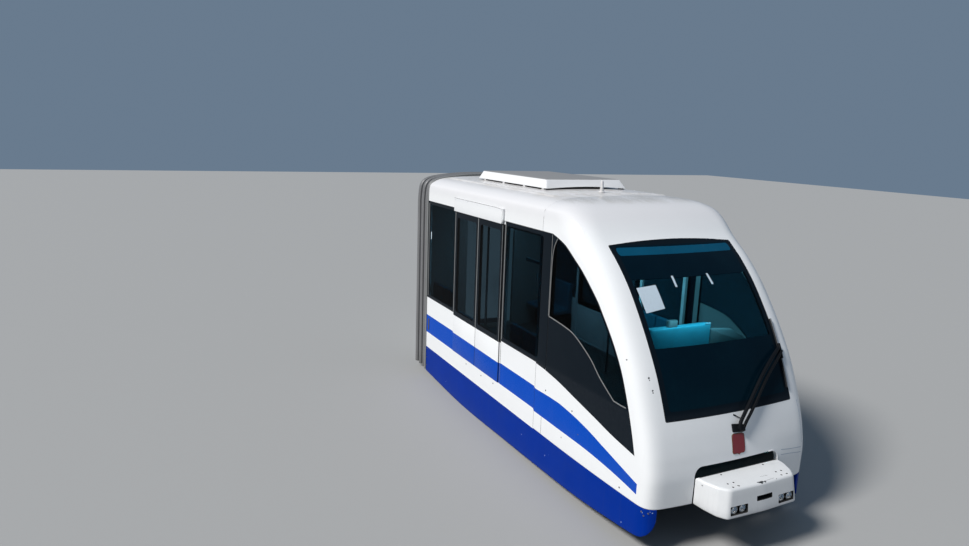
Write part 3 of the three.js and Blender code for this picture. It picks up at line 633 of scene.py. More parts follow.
@lru_cache(maxsize=None)
def fastener_tree() -> RepeatTree:
    """Tree that sets a washer and a many-sided head on every point, along its direction."""
    t = RepeatTree("fasteners")
    for name, kind in (("Head Radius", "NodeSocketFloat"), ("Head Height", "NodeSocketFloat"),
                       ("Head Sides", "NodeSocketInt"), ("Washer Radius", "NodeSocketFloat"),
                       ("Material", "NodeSocketMaterial")):
        t.socket(name, kind)
    ports = t.inputs.outputs
    head = t.node("GeometryNodeMeshCone")
    washer = t.node("GeometryNodeMeshCylinder")
    washer.inputs["Vertices"].default_value = 14
    washer.inputs["Depth"].default_value = 2.4 * MM
    taper = t.node("ShaderNodeMath", operation="MULTIPLY")
    taper.inputs[1].default_value = 0.8
    both = t.node("GeometryNodeJoinGeometry")
    names = {s.name: s for s in head.inputs}
    t.link(ports["Head Sides"], names["Vertices"])
    t.link(ports["Head Radius"], names["Radius Bottom"])
    t.link(ports["Head Radius"], taper.inputs[0])
    t.link(taper.outputs[0], names["Radius Top"])
    t.link(ports["Head Height"], names["Depth"])
    t.link(ports["Washer Radius"], washer.inputs["Radius"])
    t.link(head.outputs["Mesh"], both.inputs["Geometry"])
    t.link(washer.outputs["Mesh"], both.inputs["Geometry"])
    facing = t.node("GeometryNodeInputNamedAttribute", data_type="FLOAT_VECTOR")
    facing.inputs["Name"].default_value = "facing"
    turn = t.node("FunctionNodeAlignRotationToVector", axis="Z")
    copies = t.node("GeometryNodeInstanceOnPoints")
    t.link(facing.outputs["Attribute"], turn.inputs["Vector"])
    t.link(t.inputs.outputs["Geometry"], copies.inputs["Points"])
    t.link(both.outputs["Geometry"], copies.inputs["Instance"])
    t.link(turn.outputs["Rotation"], copies.inputs["Rotation"])
    t.finish(copies.outputs["Instances"])
    return t


@lru_cache(maxsize=None)
def row_tree() -> RepeatTree:
    """Tree that repeats a shape along a straight row."""
    t = RepeatTree("straight_row")
    for name, kind in (("Count", "NodeSocketInt"), ("Step", "NodeSocketVector"),
                       ("Material", "NodeSocketMaterial")):
        t.socket(name, kind)
    line = t.node("GeometryNodeMeshLine")
    copies = t.node("GeometryNodeInstanceOnPoints")
    t.link(t.inputs.outputs["Count"], line.inputs["Count"])
    t.link(t.inputs.outputs["Step"], line.inputs["Offset"])
    t.link(line.outputs["Mesh"], copies.inputs["Points"])
    t.link(t.inputs.outputs["Geometry"], copies.inputs["Instance"])
    t.finish(copies.outputs["Instances"])
    return t


@lru_cache(maxsize=None)
def wheel_tree() -> RepeatTree:
    """Tree that repeats a shape round an axis through a centre, along Y or Z."""
    t = RepeatTree("round_row")
    for name, kind in (("Count", "NodeSocketInt"), ("Centre", "NodeSocketVector"),
                       ("Turn", "NodeSocketVector"), ("Material", "NodeSocketMaterial")):
        t.socket(name, kind)
    line = t.node("GeometryNodeMeshLine")
    index = t.node("GeometryNodeInputIndex")
    scale = t.node("ShaderNodeVectorMath", operation="SCALE")
    away = t.node("ShaderNodeVectorMath", operation="SCALE")
    away.inputs["Scale"].default_value = -1.0
    shift = t.node("GeometryNodeTransform")
    back = t.node("GeometryNodeSetPosition")
    copies = t.node("GeometryNodeInstanceOnPoints")
    ports = t.inputs.outputs
    t.link(ports["Centre"], away.inputs[0])
    t.link(ports["Geometry"], shift.inputs["Geometry"])
    t.link(away.outputs["Vector"], shift.inputs["Translation"])
    t.link(ports["Count"], line.inputs["Count"])
    t.link(line.outputs["Mesh"], back.inputs["Geometry"])
    t.link(ports["Centre"], back.inputs["Position"])
    t.link(ports["Turn"], scale.inputs[0])
    t.link(index.outputs["Index"], scale.inputs["Scale"])
    t.link(back.outputs["Geometry"], copies.inputs["Points"])
    t.link(shift.outputs["Geometry"], copies.inputs["Instance"])
    t.link(scale.outputs["Vector"], copies.inputs["Rotation"])
    t.finish(copies.outputs["Instances"])
    return t


@dataclass(frozen=True)
class FastenerKind:
    """Sizes of one kind of bolt, screw or rivet."""

    radius: float
    height: float
    sides: int
    washer: float


HEX_BOLT = FastenerKind(9.0, 9.0, 6, 14.0)
SMALL_BOLT = FastenerKind(5.5, 5.0, 6, 8.5)
SCREW = FastenerKind(4.5, 2.6, 12, 6.0)


def fasteners(name: str, places: Sequence[Sequence[float]], facing: Sequence, kind: FastenerKind,
              body: Body = Body.CAR, finish: str = "steel", slot: Slot = Slot.STEEL) -> None:
    """Puts fasteners at a list of places, as one piece of plain mesh.

    Args:
        name: Name of the piece.
        places: Points in millimetres.
        facing: Direction of each head, or one for all.
        kind: Sizes of the fastener.
        body: The body that carries them.
        finish: Name of the heads' finish.
        slot: The record's slot for that finish.
    """
    places = np.asarray(places, float).reshape(-1, 3)
    facing = unit(np.broadcast_to(np.asarray(facing, float), places.shape))
    mesh = bpy.data.meshes.new(name)
    mesh.from_pydata((places * MM).tolist(), [], [])
    way = mesh.attributes.new("facing", "FLOAT_VECTOR", "POINT")
    way.data.foreach_set("vector", facing.astype(np.float32).ravel())
    heads = fastener_tree().apply(new_object(name, mesh), {
        "Head Radius": kind.radius * MM, "Head Height": kind.height * 2 * MM,
        "Head Sides": kind.sides, "Washer Radius": kind.washer * MM, "Material": look(finish)})
    publish(heads, body, slot)


def in_a_row(piece: bpy.types.Object, count: int, step: Sequence[float],
             finish: str) -> bpy.types.Object:
    """Repeats a piece along a straight row.

    Args:
        piece: The piece, at the start of the row.
        count: How many there are in the end.
        step: Way from one to the next, in millimetres.
        finish: Name of their finish.

    Returns:
        The piece with all copies as plain mesh.
    """
    return row_tree().apply(piece, {"Count": count, "Step": tuple(part * MM for part in step),
                                    "Material": look(finish)})


# Finishes

Colour = tuple[float, float, float]


class Sketch:
    """A shader tree under construction, with short calls for its nodes."""

    def __init__(self, tree: bpy.types.NodeTree) -> None:
        """Works on a tree."""
        self.tree = tree

    def node(self, kind: str, **settings: object) -> bpy.types.Node:
        """Adds a node with its settings."""
        made = self.tree.nodes.new(kind)
        for key, value in settings.items():
            setattr(made, key, value)
        return made

    def feed(self, socket: bpy.types.NodeSocket, value: object) -> None:
        """Links a socket to another, or sets its value."""
        if isinstance(value, bpy.types.NodeSocket):
            self.tree.links.new(value, socket)
        else:
            socket.default_value = value

    def math(self, operation: str, a: object, b: object = 0.0, c: object = 0.0,
             clamp: bool = False) -> bpy.types.NodeSocket:
        """A number worked out from others."""
        made = self.node("ShaderNodeMath", operation=operation, use_clamp=clamp)
        for socket, value in zip(made.inputs, (a, b, c)):
            self.feed(socket, value)
        return made.outputs[0]

    def blend(self, factor: object, a: object, b: object) -> bpy.types.NodeSocket:
        """A colour between two others."""
        made = self.node("ShaderNodeMix", data_type="RGBA")
        self.feed(made.inputs["Factor"], factor)
        self.feed(made.inputs[6], a)
        self.feed(made.inputs[7], b)
        return made.outputs[2]

    def noise(self, vector: object, scale: object, detail: float = 3.0,
              roughness: float = 0.55) -> bpy.types.NodeSocket:
        """Smooth noise between 0 and 1."""
        made = self.node("ShaderNodeTexNoise")
        self.feed(made.inputs["Vector"], vector)
        self.feed(made.inputs["Scale"], scale)
        made.inputs["Detail"].default_value = detail
        made.inputs["Roughness"].default_value = roughness
        return made.outputs["Fac"]

    def band(self, value: object, low: float, high: float) -> bpy.types.NodeSocket:
        """0 below low, 1 above high, and smooth between."""
        made = self.node("ShaderNodeMapRange", interpolation_type="SMOOTHSTEP", clamp=True)
        self.feed(made.inputs["Value"], value)
        made.inputs["From Min"].default_value = low
        made.inputs["From Max"].default_value = high
        return made.outputs["Result"]

    def stretched(self, vector: object, scale: tuple[float, float, float]) -> bpy.types.NodeSocket:
        """Coordinates with each axis scaled."""
        made = self.node("ShaderNodeMapping")
        self.feed(made.inputs["Vector"], vector)
        made.inputs["Scale"].default_value = scale
        return made.outputs["Vector"]

    def split(self, vector: object) -> tuple[bpy.types.NodeSocket, ...]:
        """The three parts of a vector."""
        made = self.node("ShaderNodeSeparateXYZ")
        self.feed(made.inputs[0], vector)
        return tuple(made.outputs)

    def group(self, tree: bpy.types.NodeTree, **values: object) -> bpy.types.Node:
        """Places a shared group, with underscores in the input names read as spaces."""
        made = self.node("ShaderNodeGroup")
        made.node_tree = tree
        for key, value in values.items():
            self.feed(made.inputs[key.replace("_", " ")], value)
        return made


def shader_group(name: str, inputs: dict[str, str], outputs: dict[str, str]) -> tuple[
        bpy.types.NodeTree, Sketch, bpy.types.Node, bpy.types.Node]:
    """An empty shader group with named sockets.

    Args:
        name: Name of the group.
        inputs: Socket type of each input.
        outputs: Socket type of each output.

    Returns:
        The tree, a sketch of it, and its input and output nodes.
    """
    tree = bpy.data.node_groups.new(name, "ShaderNodeTree")
    for label, kind in inputs.items():
        tree.interface.new_socket(name=label, in_out="INPUT", socket_type=kind)
    for label, kind in outputs.items():
        tree.interface.new_socket(name=label, in_out="OUTPUT", socket_type=kind)
    s = Sketch(tree)
    return tree, s, s.node("NodeGroupInput"), s.node("NodeGroupOutput")


FLOAT, VECTOR = "NodeSocketFloat", "NodeSocketVector"


@lru_cache(maxsize=None)
def grime_group() -> bpy.types.NodeTree:
    """Road film: soft patches, thicker towards a low edge."""
    tree, s, given, result = shader_group(
        "grime", {"Vector": VECTOR, "Low": FLOAT, "Reach": FLOAT, "Amount": FLOAT}, {"Mask": FLOAT})
    p = given.outputs
    height = s.split(p["Vector"])[2]
    above = s.math("DIVIDE", s.math("SUBTRACT", height, p["Low"]), p["Reach"])
    near = s.math("SUBTRACT", 1.0, above, clamp=True)
    patch = s.band(s.noise(p["Vector"], 1.7, 5.0, 0.6), 0.42, 0.8)
    fine = s.noise(p["Vector"], 23.0, 4.0, 0.65)
    low = s.math("MULTIPLY", s.math("POWER", near, 2.2), s.math("MULTIPLY_ADD", fine, 1.1, 0.15))
    total = s.math("ADD", low, s.math("MULTIPLY", s.math("MULTIPLY", patch, fine), 0.45))
    s.feed(result.inputs["Mask"], s.math("MULTIPLY", total, p["Amount"], clamp=True))
    return tree


@lru_cache(maxsize=None)
def streak_group() -> bpy.types.NodeTree:
    """Rain streaks that run down a wall."""
    tree, s, given, result = shader_group(
        "rain_streaks", {"Vector": VECTOR, "Amount": FLOAT}, {"Mask": FLOAT})
    p = given.outputs
    wide = s.band(s.noise(s.stretched(p["Vector"], (13.0, 13.0, 0.55)), 1.0, 3.0, 0.6), 0.55, 0.78)
    thin = s.band(s.noise(s.stretched(p["Vector"], (60.0, 60.0, 1.6)), 1.0, 2.0, 0.5), 0.5, 0.8)
    both = s.math("MULTIPLY_ADD", thin, 0.5, s.math("MULTIPLY", wide, 0.6))
    s.feed(result.inputs["Mask"], s.math("MULTIPLY", both, p["Amount"], clamp=True))
    return tree


@lru_cache(maxsize=None)
def speck_group() -> bpy.types.NodeTree:
    """Small chips and splashes, scattered thinly."""
    tree, s, given, result = shader_group(
        "specks", {"Vector": VECTOR, "Scale": FLOAT, "Share": FLOAT}, {"Mask": FLOAT})
    p = given.outputs
    cells = s.node("ShaderNodeTexVoronoi", feature="F1")
    s.feed(cells.inputs["Vector"], p["Vector"])
    s.feed(cells.inputs["Scale"], p["Scale"])
    near = s.math("LESS_THAN", cells.outputs["Distance"], 0.17)
    tint = s.node("ShaderNodeSeparateColor")
    s.feed(tint.inputs[0], cells.outputs["Color"])
    chosen = s.math("LESS_THAN", tint.outputs[0], p["Share"])
    s.feed(result.inputs["Mask"], s.math("MULTIPLY", near, chosen))
    return tree


@lru_cache(maxsize=None)
def grain_group() -> bpy.types.NodeTree:
    """Fine unevenness of a surface, as a normal and as a value."""
    tree, s, given, result = shader_group(
        "surface_grain", {"Vector": VECTOR, "Scale": FLOAT, "Depth": FLOAT},
        {"Normal": VECTOR, "Value": FLOAT})
    p = given.outputs
    coarse = s.noise(p["Vector"], s.math("MULTIPLY", p["Scale"], 0.12), 3.0, 0.5)
    fine = s.noise(p["Vector"], p["Scale"], 4.0, 0.6)
    height = s.math("MULTIPLY_ADD", coarse, 2.0, fine)
    bump = s.node("ShaderNodeBump")
    bump.inputs["Distance"].default_value = 0.001
    s.feed(bump.inputs["Strength"], p["Depth"])
    s.feed(bump.inputs["Height"], height)
    s.feed(result.inputs["Normal"], bump.outputs["Normal"])
    s.feed(result.inputs["Value"], fine)
    return tree


# Blue stripe along the side, as columns x, upper edge, lower edge
STRIPE = [(-2600, 798, 500), (-1495, 798, 500), (76, 792, 502), (980, 789, 500), (1006, 768, 473),
          (1336, 778, 471), (1478, 779, 469), (1740, 758, 466), (2082, 700, 457), (2405, 615, 431),
          (2703, 530, 393), (2954, 456, 347)]
STRIPE_END_X = 2950.0
LEAF_STRIPE_DROP = 11.0


@lru_cache(maxsize=None)
def stripe_group() -> bpy.types.NodeTree:
    """The blue stripe: 1 between its two edges on either side of the car."""
    tree, s, given, result = shader_group("side_stripe", {"Vector": VECTOR, "Drop": FLOAT},
                                          {"Mask": FLOAT})
    p = given.outputs
    x, y, z = s.split(p["Vector"])
    span = (STRIPE[-1][0] - STRIPE[0][0]) * MM
    place = s.math("DIVIDE", s.math("SUBTRACT", x, STRIPE[0][0] * MM), span)
    level = s.math("ADD", z, p["Drop"])
    inside_all = s.math("LESS_THAN", x, STRIPE_END_X * MM)
    for column, operation in ((1, "LESS_THAN"), (2, "GREATER_THAN")):
        edge = s.node("ShaderNodeFloatCurve")
        curve = edge.mapping.curves[0]
        spots = [((row[0] * MM - STRIPE[0][0] * MM) / span, row[column] * MM) for row in STRIPE]
        curve.points[0].location = spots[0]
        curve.points[-1].location = spots[-1]
        for spot in spots[1:-1]:
            curve.points.new(*spot)
        for point in curve.points:
            point.handle_type = "AUTO_CLAMPED"
        edge.mapping.update()
        s.feed(edge.inputs["Value"], place)
        inside_all = s.math("MULTIPLY", inside_all, s.math(operation, level, edge.outputs["Value"]))
    skin_y, nose_taper = 1.12, 0.06
    outside = s.math("MULTIPLY_ADD", s.band(x, 1.6, 2.9), -nose_taper, skin_y)
    far = s.math("GREATER_THAN", s.math("ABSOLUTE", y), outside)
    s.feed(result.inputs["Mask"], s.math("MULTIPLY", inside_all, far))
    return tree


@dataclass(frozen=True)
class Finish:
    """A surface finish with grain, patchy colour, dirt and specks."""

    name: str
    colour: Colour
    roughness: float = 0.5
    metallic: float = 0.0
    coat: float = 0.0
    grain: float = 60.0
    depth: float = 0.2
    variation: float = 0.08
    dirt: Colour = (0.16, 0.14, 0.11)
    dirt_amount: float = 0.3
    dirt_low: float = -0.2
    dirt_reach: float = 0.8
    streaks: float = 0.15
    speck: Colour = (0.05, 0.05, 0.05)
    speck_share: float = 0.0
    speck_scale: float = 22.0
    specular: float = 0.5
    mark: Colour = (0.02, 0.02, 0.02)
    marks: tuple[tuple[float, float, float, float], ...] = ()

    def base(self, s: Sketch, place: bpy.types.NodeSocket) -> object:
        """Colour before dirt."""
        return (*self.colour, 1.0)

    def build(self) -> bpy.types.Material:
        """Makes the material.

        Returns:
            A material with a plain Principled shader.
        """
        material = bpy.data.materials.new(self.name)
        material.use_nodes = True
        s = Sketch(material.node_tree)
        shader = material.node_tree.nodes["Principled BSDF"]
        place = s.node("ShaderNodeTexCoord").outputs["Object"]
        grain = s.group(grain_group(), Vector=place, Scale=self.grain, Depth=self.depth)
        base = self.base(s, place)
        shade = s.math("MULTIPLY", s.noise(place, 3.1, 4.0), self.variation * 2)
        colour = s.blend(shade, base, s.blend(0.45, base, (0.0, 0.0, 0.0, 1.0)))
        streaks = s.group(streak_group(), Vector=place, Amount=self.streaks)
        colour = s.blend(streaks.outputs["Mask"], colour, (*self.dirt, 1.0))
        grime = s.group(grime_group(), Vector=place, Low=self.dirt_low, Reach=self.dirt_reach,
                        Amount=self.dirt_amount)
        colour = s.blend(self.masked(s, grime.outputs["Mask"], place), colour, (*self.dirt, 1.0))
        if self.speck_share > 0:
            specks = s.group(speck_group(), Vector=place, Scale=self.speck_scale,
                             Share=self.speck_share)
            colour = s.blend(specks.outputs["Mask"], colour, (*self.speck, 1.0))
        for spot in self.marks:
            colour = s.blend(self.near(s, place, spot), colour, (*self.mark, 1.0))
        s.feed(shader.inputs["Base Color"], colour)
        rough = s.math("MULTIPLY_ADD", grain.outputs["Value"], 0.16, self.roughness - 0.08)
        s.feed(shader.inputs["Roughness"],
               s.math("MULTIPLY_ADD", grime.outputs["Mask"], 0.3, rough, clamp=True))
        s.feed(shader.inputs["Normal"], grain.outputs["Normal"])
        shader.inputs["Metallic"].default_value = self.metallic
        shader.inputs["Coat Weight"].default_value = self.coat
        shader.inputs["Coat Roughness"].default_value = 0.06
        self.gloss(s, shader, place)
        return material

    def gloss(self, s: Sketch, shader: bpy.types.ShaderNode, place: bpy.types.NodeSocket) -> None:
        """How strongly the surface mirrors."""
        shader.inputs["Specular IOR Level"].default_value = self.specular

    @staticmethod
    def near(s: Sketch, place: bpy.types.NodeSocket, spot: Sequence[float]) -> bpy.types.NodeSocket:
        """A ragged patch round a spot given as x, y, z and reach in millimetres."""
        x, y, z, reach = (value * MM for value in spot)
        away = s.node("ShaderNodeVectorMath", operation="DISTANCE")
        s.feed(away.inputs[0], place)
        away.inputs[1].default_value = (x, y, z)
        ragged = s.math("MULTIPLY_ADD", s.noise(place, 90.0, 3.0), reach, away.outputs["Value"])
        return s.math("SUBTRACT", 1.0, s.band(ragged, 0.9 * reach, 1.25 * reach))

    def masked(self, s: Sketch, mask: bpy.types.NodeSocket,
               place: bpy.types.NodeSocket) -> bpy.types.NodeSocket:
        """Where the dirt lies."""
        return mask


@dataclass(frozen=True)
class BodyPaint(Finish):
    """White body paint with the blue stripe, and dust on the flat of the roof."""

    stripe: Colour = (0.0005, 0.062, 0.43)
    drop: float = 0.0
    roof_dust: float = 0.55
    roof_tone: Colour = (0.69, 0.685, 0.70)

    def base(self, s: Sketch, place: bpy.types.NodeSocket) -> object:
        """White with the stripe, duller towards the roof."""
        stripe = s.group(stripe_group(), Vector=place, Drop=self.drop)
        high = s.band(s.split(place)[2], 2.72, 2.98)
        white = s.blend(high, (*self.colour, 1.0), (*self.roof_tone, 1.0))
        return s.blend(stripe.outputs["Mask"], white, (*self.stripe, 1.0))

    def gloss(self, s: Sketch, shader: bpy.types.ShaderNode, place: bpy.types.NodeSocket) -> None:
        """The stripe is a duller film, without the clear coat of the paint."""
        shader.inputs["Specular IOR Level"].default_value = self.specular
        stripe = s.group(stripe_group(), Vector=place, Drop=self.drop)
        s.feed(shader.inputs["Coat Weight"],
               s.math("MULTIPLY_ADD", stripe.outputs["Mask"], -self.coat, self.coat))

    def masked(self, s: Sketch, mask: bpy.types.NodeSocket,
               place: bpy.types.NodeSocket) -> bpy.types.NodeSocket:
        """Dirt low on the body and dust on top of the roof."""
        height = s.split(place)[2]
        top = s.band(height, 3.03, 3.075)
        dust = s.band(s.noise(s.stretched(place, (0.8, 2.4, 1.0)), 2.6, 6.0, 0.65), 0.3, 0.75)
        return s.math("MULTIPLY_ADD", s.math("MULTIPLY", top, dust), self.roof_dust, mask,
                      clamp=True)


@dataclass(frozen=True)
class CoverPaint(Finish):
    """White cover with a darker top: painted shade, with some dust."""

    # Colour of the top: painted shade over some dust
    top: Colour = (0.262, 0.258, 0.258)

    def base(self, s: Sketch, place: bpy.types.NodeSocket) -> object:
        """White sides below the top, which is painted darker as painted shade with some dust."""
        high = s.band(s.split(place)[2], 3.2255, 3.232)
        return s.blend(high, (*self.colour, 1.0), (*self.top, 1.0))


@dataclass(frozen=True)
class Glass:
    """Tinted glass with a faint unevenness and dust."""

    name: str
    tint: Colour
    roughness: float = 0.02
    ior: float = 1.45

    def build(self) -> bpy.types.Material:
        """Makes the material."""
        material = bpy.data.materials.new(self.name)
        material.use_nodes = True
        s = Sketch(material.node_tree)
        shader = material.node_tree.nodes["Principled BSDF"]
        place = s.node("ShaderNodeTexCoord").outputs["Object"]
        film = s.band(s.noise(place, 2.2, 5.0, 0.6), 0.45, 0.85)
        s.feed(shader.inputs["Roughness"], s.math("MULTIPLY_ADD", film, 0.05, self.roughness))
        bump = s.group(grain_group(), Vector=place, Scale=2.0, Depth=0.05)
        s.feed(shader.inputs["Normal"], bump.outputs["Normal"])
        s.feed(shader.inputs["Base Color"], s.blend(film, (*self.tint, 1.0),
                                                    tuple(0.8 * c for c in self.tint) + (1.0,)))
        shader.inputs["Transmission Weight"].default_value = 1.0
        shader.inputs["IOR"].default_value = self.ior
        return material


# What the white paint of the body and of the door leaves shares
WALL_PAINT = {"coat": 0.5, "specular": 0.04, "grain": 180.0, "depth": 0.06, "variation": 0.03,
              "dirt": (0.36, 0.33, 0.28), "dirt_amount": 0.08, "streaks": 0.03}

FINISHES: dict[str, Finish | Glass] = {
    "white": BodyPaint("body_white", (0.80, 0.81, 0.82), 0.28, **WALL_PAINT, dirt_low=0.2,
                       dirt_reach=0.6, speck=(0.12, 0.11, 0.1), speck_share=0.006,
                       marks=((2818, -951, 1490, 17), (2828, -950, 1470, 12),
                              (2876, -940, 1378, 15), (2884, -942, 1358, 12))),
    "leaf": BodyPaint("leaf_white", (0.80, 0.81, 0.82), 0.28, **WALL_PAINT, dirt_low=0.45,
                      dirt_reach=0.4, drop=LEAF_STRIPE_DROP * MM),
    "roof": BodyPaint("roof_white", (0.80, 0.81, 0.82), 0.34, coat=0.3, specular=0.04, grain=140.0,
                      depth=0.1, variation=0.05, dirt=(0.40, 0.365, 0.31), dirt_amount=0.12,
                      dirt_low=2.6, dirt_reach=0.5, streaks=0.04),
    "cover": CoverPaint("roof_cover_white", (0.76, 0.76, 0.77), 0.5, grain=120.0, depth=0.15,
                        variation=0.06, dirt=(0.33, 0.31, 0.27), dirt_amount=0.2, dirt_low=3.12,
                        dirt_reach=0.05, streaks=0.12),
    "blue": Finish("skirt_blue", (0.0006, 0.027, 0.27), 0.36, grain=90.0, depth=0.12,
                   variation=0.18, dirt=(0.06, 0.08, 0.14), dirt_amount=0.2, dirt_low=-0.26,
                   dirt_reach=0.3, streaks=0.1, speck=(0.30, 0.38, 0.55), speck_share=0.03,
                   speck_scale=26.0, specular=0.03, mark=(0.35, 0.47, 0.62),
                   marks=((3113, -1016, 213, 11), (3098, -1036, 222, 7), (3040, -1082, 196, 7))),
    "coupler": Finish("coupler_white", (0.69, 0.70, 0.71), 0.34, coat=0.1, grain=140.0, depth=0.12,
                      variation=0.05, dirt=(0.10, 0.10, 0.11), dirt_amount=0.3, dirt_low=0.24,
                      dirt_reach=0.16, streaks=0.1, speck=(0.03, 0.03, 0.03), speck_share=0.012,
                      marks=((3492, -40, 530, 22), (3496, -18, 530, 30), (3490, 4, 530, 22),
                             (3498, 30, 529, 20), (3484, -58, 530, 14))),
    "frit": Finish("glass_frit", (0.004, 0.008, 0.013), 0.08, grain=40.0, depth=0.02, variation=0.1,
                   dirt=(0.016, 0.02, 0.026), dirt_amount=0.55, dirt_low=1.12, dirt_reach=0.06,
                   streaks=0.02, specular=0.05),
    # Opaque dark sheet on the windscreen: painted shade of the cab behind the glass
    "dark_screen": Finish("screen_shade_backing", (0.001, 0.008, 0.016), 0.1, grain=20.0, depth=0.03,
                          variation=0.3, dirt=(0.004, 0.03, 0.042), dirt_amount=0.3, dirt_low=1.0,
                          dirt_reach=0.9, streaks=0.1, specular=0.06),
    "teal_strip": Finish("screen_teal_strip", (0.003, 0.072, 0.14), 0.2, grain=30.0, depth=0.03,
                         variation=0.3, dirt_amount=0.0, streaks=0.05, specular=0.05),
    "seal_grey": Finish("grey_seal", (0.20, 0.205, 0.205), 0.6, grain=220.0, depth=0.3,
                        variation=0.2, dirt_amount=0.2, streaks=0.2),
    "rubber": Finish("black_rubber", (0.008, 0.009, 0.011), 0.62, grain=260.0, depth=0.4,
                     variation=0.2, dirt=(0.05, 0.048, 0.045), dirt_amount=0.3, streaks=0.15,
                     specular=0.3),
    "bellows": Finish("bellows_grey", (0.18, 0.18, 0.185), 0.4, grain=90.0, depth=0.5,
                      variation=0.25, dirt=(0.07, 0.065, 0.06), dirt_amount=0.45, dirt_low=-0.15,
                      dirt_reach=1.2, streaks=0.45),
    "frame": Finish("frame_black", (0.03, 0.032, 0.035), 0.55, grain=120.0, depth=0.5,
                    variation=0.3, dirt=(0.13, 0.10, 0.075), dirt_amount=0.8, dirt_low=-0.15,
                    dirt_reach=0.7, streaks=0.3, speck=(0.20, 0.09, 0.04), speck_share=0.02,
                    speck_scale=30.0),
    "steel": Finish("worn_steel", (0.42, 0.42, 0.43), 0.36, metallic=1.0, grain=240.0, depth=0.3,
                    variation=0.25, dirt=(0.10, 0.07, 0.05), dirt_amount=0.6, dirt_low=-0.1,
                    dirt_reach=0.7, streaks=0.25),
    "tyre": Finish("tyre_black", (0.018, 0.018, 0.018), 0.78, grain=300.0, depth=0.6, variation=0.3,
                   dirt=(0.10, 0.09, 0.08), dirt_amount=0.7, dirt_low=-0.1, dirt_reach=0.5),
    "chrome": Finish("lamp_chrome", (0.82, 0.83, 0.84), 0.1, metallic=1.0, grain=60.0, depth=0.05,
                     variation=0.06, dirt_amount=0.12, dirt_low=0.29, dirt_reach=0.2),
    "trim": Finish("black_trim", (0.006, 0.007, 0.009), 0.5, grain=240.0, depth=0.35, variation=0.2,
                   dirt=(0.03, 0.03, 0.03), dirt_amount=0.25, streaks=0.1, specular=0.15),
    "lining": Finish("cab_lining", (0.26, 0.27, 0.27), 0.6, grain=150.0, depth=0.3, variation=0.12,
                     dirt_amount=0.15, dirt_low=0.45, dirt_reach=0.6),
    "teal": Finish("teal_plastic", (0.09, 0.50, 0.62), 0.45, grain=160.0, depth=0.3, variation=0.12,
                   dirt_amount=0.1, dirt_low=0.45, dirt_reach=0.6),
    "seat": Finish("seat_blue", (0.02, 0.13, 0.20), 0.6, grain=320.0, depth=0.5, variation=0.2,
                   dirt_amount=0.15, dirt_low=0.45, dirt_reach=0.5),
    "floor": Finish("floor_sheet", (0.07, 0.075, 0.08), 0.7, grain=300.0, depth=0.5, variation=0.25,
                    dirt_amount=0.4, dirt_low=0.4, dirt_reach=0.2),
    "motor": Finish("motor_iron", (0.05, 0.05, 0.055), 0.6, grain=130.0, depth=0.7, variation=0.3,
                    dirt=(0.13, 0.10, 0.075), dirt_amount=0.7, dirt_low=-0.1, dirt_reach=0.5),
    "emblem": Finish("maroon_enamel", (0.20, 0.008, 0.018), 0.35, coat=0.2, grain=60.0, depth=0.05,
                     variation=0.15, dirt_amount=0.1),
    "sign": Finish("sign_white", (0.54, 0.64, 0.72), 0.5, grain=200.0, depth=0.1, variation=0.06,
                   dirt_amount=0.05),
    "bronze": Finish("bronze_marker", (0.16, 0.10, 0.04), 0.35, metallic=0.6, grain=200.0,
                     depth=0.2, variation=0.2, dirt_amount=0.2),
    "wiper": Finish("wiper_black", (0.004, 0.005, 0.007), 0.5, grain=240.0, depth=0.3,
                    variation=0.2, dirt=(0.02, 0.02, 0.02), dirt_amount=0.1, streaks=0.1,
                    specular=0.12),
    # Blue-grey of shaded creases: painted shade
    "crease_shade": Finish("shaded_joint", (0.34, 0.40, 0.48), 0.5, grain=120.0, depth=0.1, variation=0.1,
                     dirt_amount=0.1),
    # Near-black for holes and recesses: painted shade
    "hole_shade": Finish("painted_shade_hole", (0.01, 0.01, 0.01), 0.9, grain=100.0, depth=0.2, dirt_amount=0.2),
    "side_glass": Glass("side_glass", (0.03, 0.075, 0.105), 0.01, ior=1.06),
    "door_glass": Glass("door_glass", (0.048, 0.09, 0.12), 0.01, ior=1.07),
    "screen_glass": Glass("screen_glass", (0.10, 0.36, 0.46), 0.01, ior=1.1),
}


@lru_cache(maxsize=None)
def look(name: str) -> bpy.types.Material:
    """The material of a named finish, made once."""
    return FINISHES[name].build()


def looks(*names: str) -> list[bpy.types.Material]:
    """Materials of several finishes."""
    return [look(name) for name in names]


def dress(node: str, finish: str) -> None:
    """Gives a kept node its finish."""
    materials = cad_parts[node].data.materials
    materials.clear()
    materials.append(look(finish))


# Nose surface

# Horizontal slices, columns: height, front x on the centre line, half width at the seam,
# half width of the front face, length of the rounded corner
NOSE_ROWS = [
    (242, 3185, 1145, 900, 190), (500, 3190, 1145, 895, 190), (700, 3165, 1145, 890, 195),
    (900, 3115, 1145, 885, 200), (1100, 3045, 1145, 880, 205), (1460, 2890, 1145, 875, 225),
    (1730, 2735, 1145, 872, 250), (2000, 2555, 1145, 870, 285), (2260, 2357, 1145, 868, 330),
    (2470, 2157, 1145, 865, 380), (2700, 1890, 1145, 862, 430), (2860, 1735, 1141, 850, 430),
    (2940, 1635, 1129, 820, 400), (3003, 1520, 1060, 760, 340), (3044, 1400, 963, 680, 280),
    (3072, 1270, 816, 560, 200), (3088, 1130, 571, 380, 90), (3096, 1060, 330, 250, 30),
]
CROWN_Z = 3098.0
BULGE_DEPTH, BULGE_HALF = 45.0, 880.0
TAPER_START, TAPER_SPAN, TAPER_DEPTH = 1400.0, 1456.0, 38.0
# Reach of the corner's curve handles, as a share of the corner's length and width
CORNER_HANDLE = 0.7


def taper(x: np.ndarray) -> np.ndarray:
    """How far the side has come in at a place along the car."""
    return TAPER_DEPTH * (np.maximum(0.0, x - TAPER_START) / TAPER_SPAN) ** 2


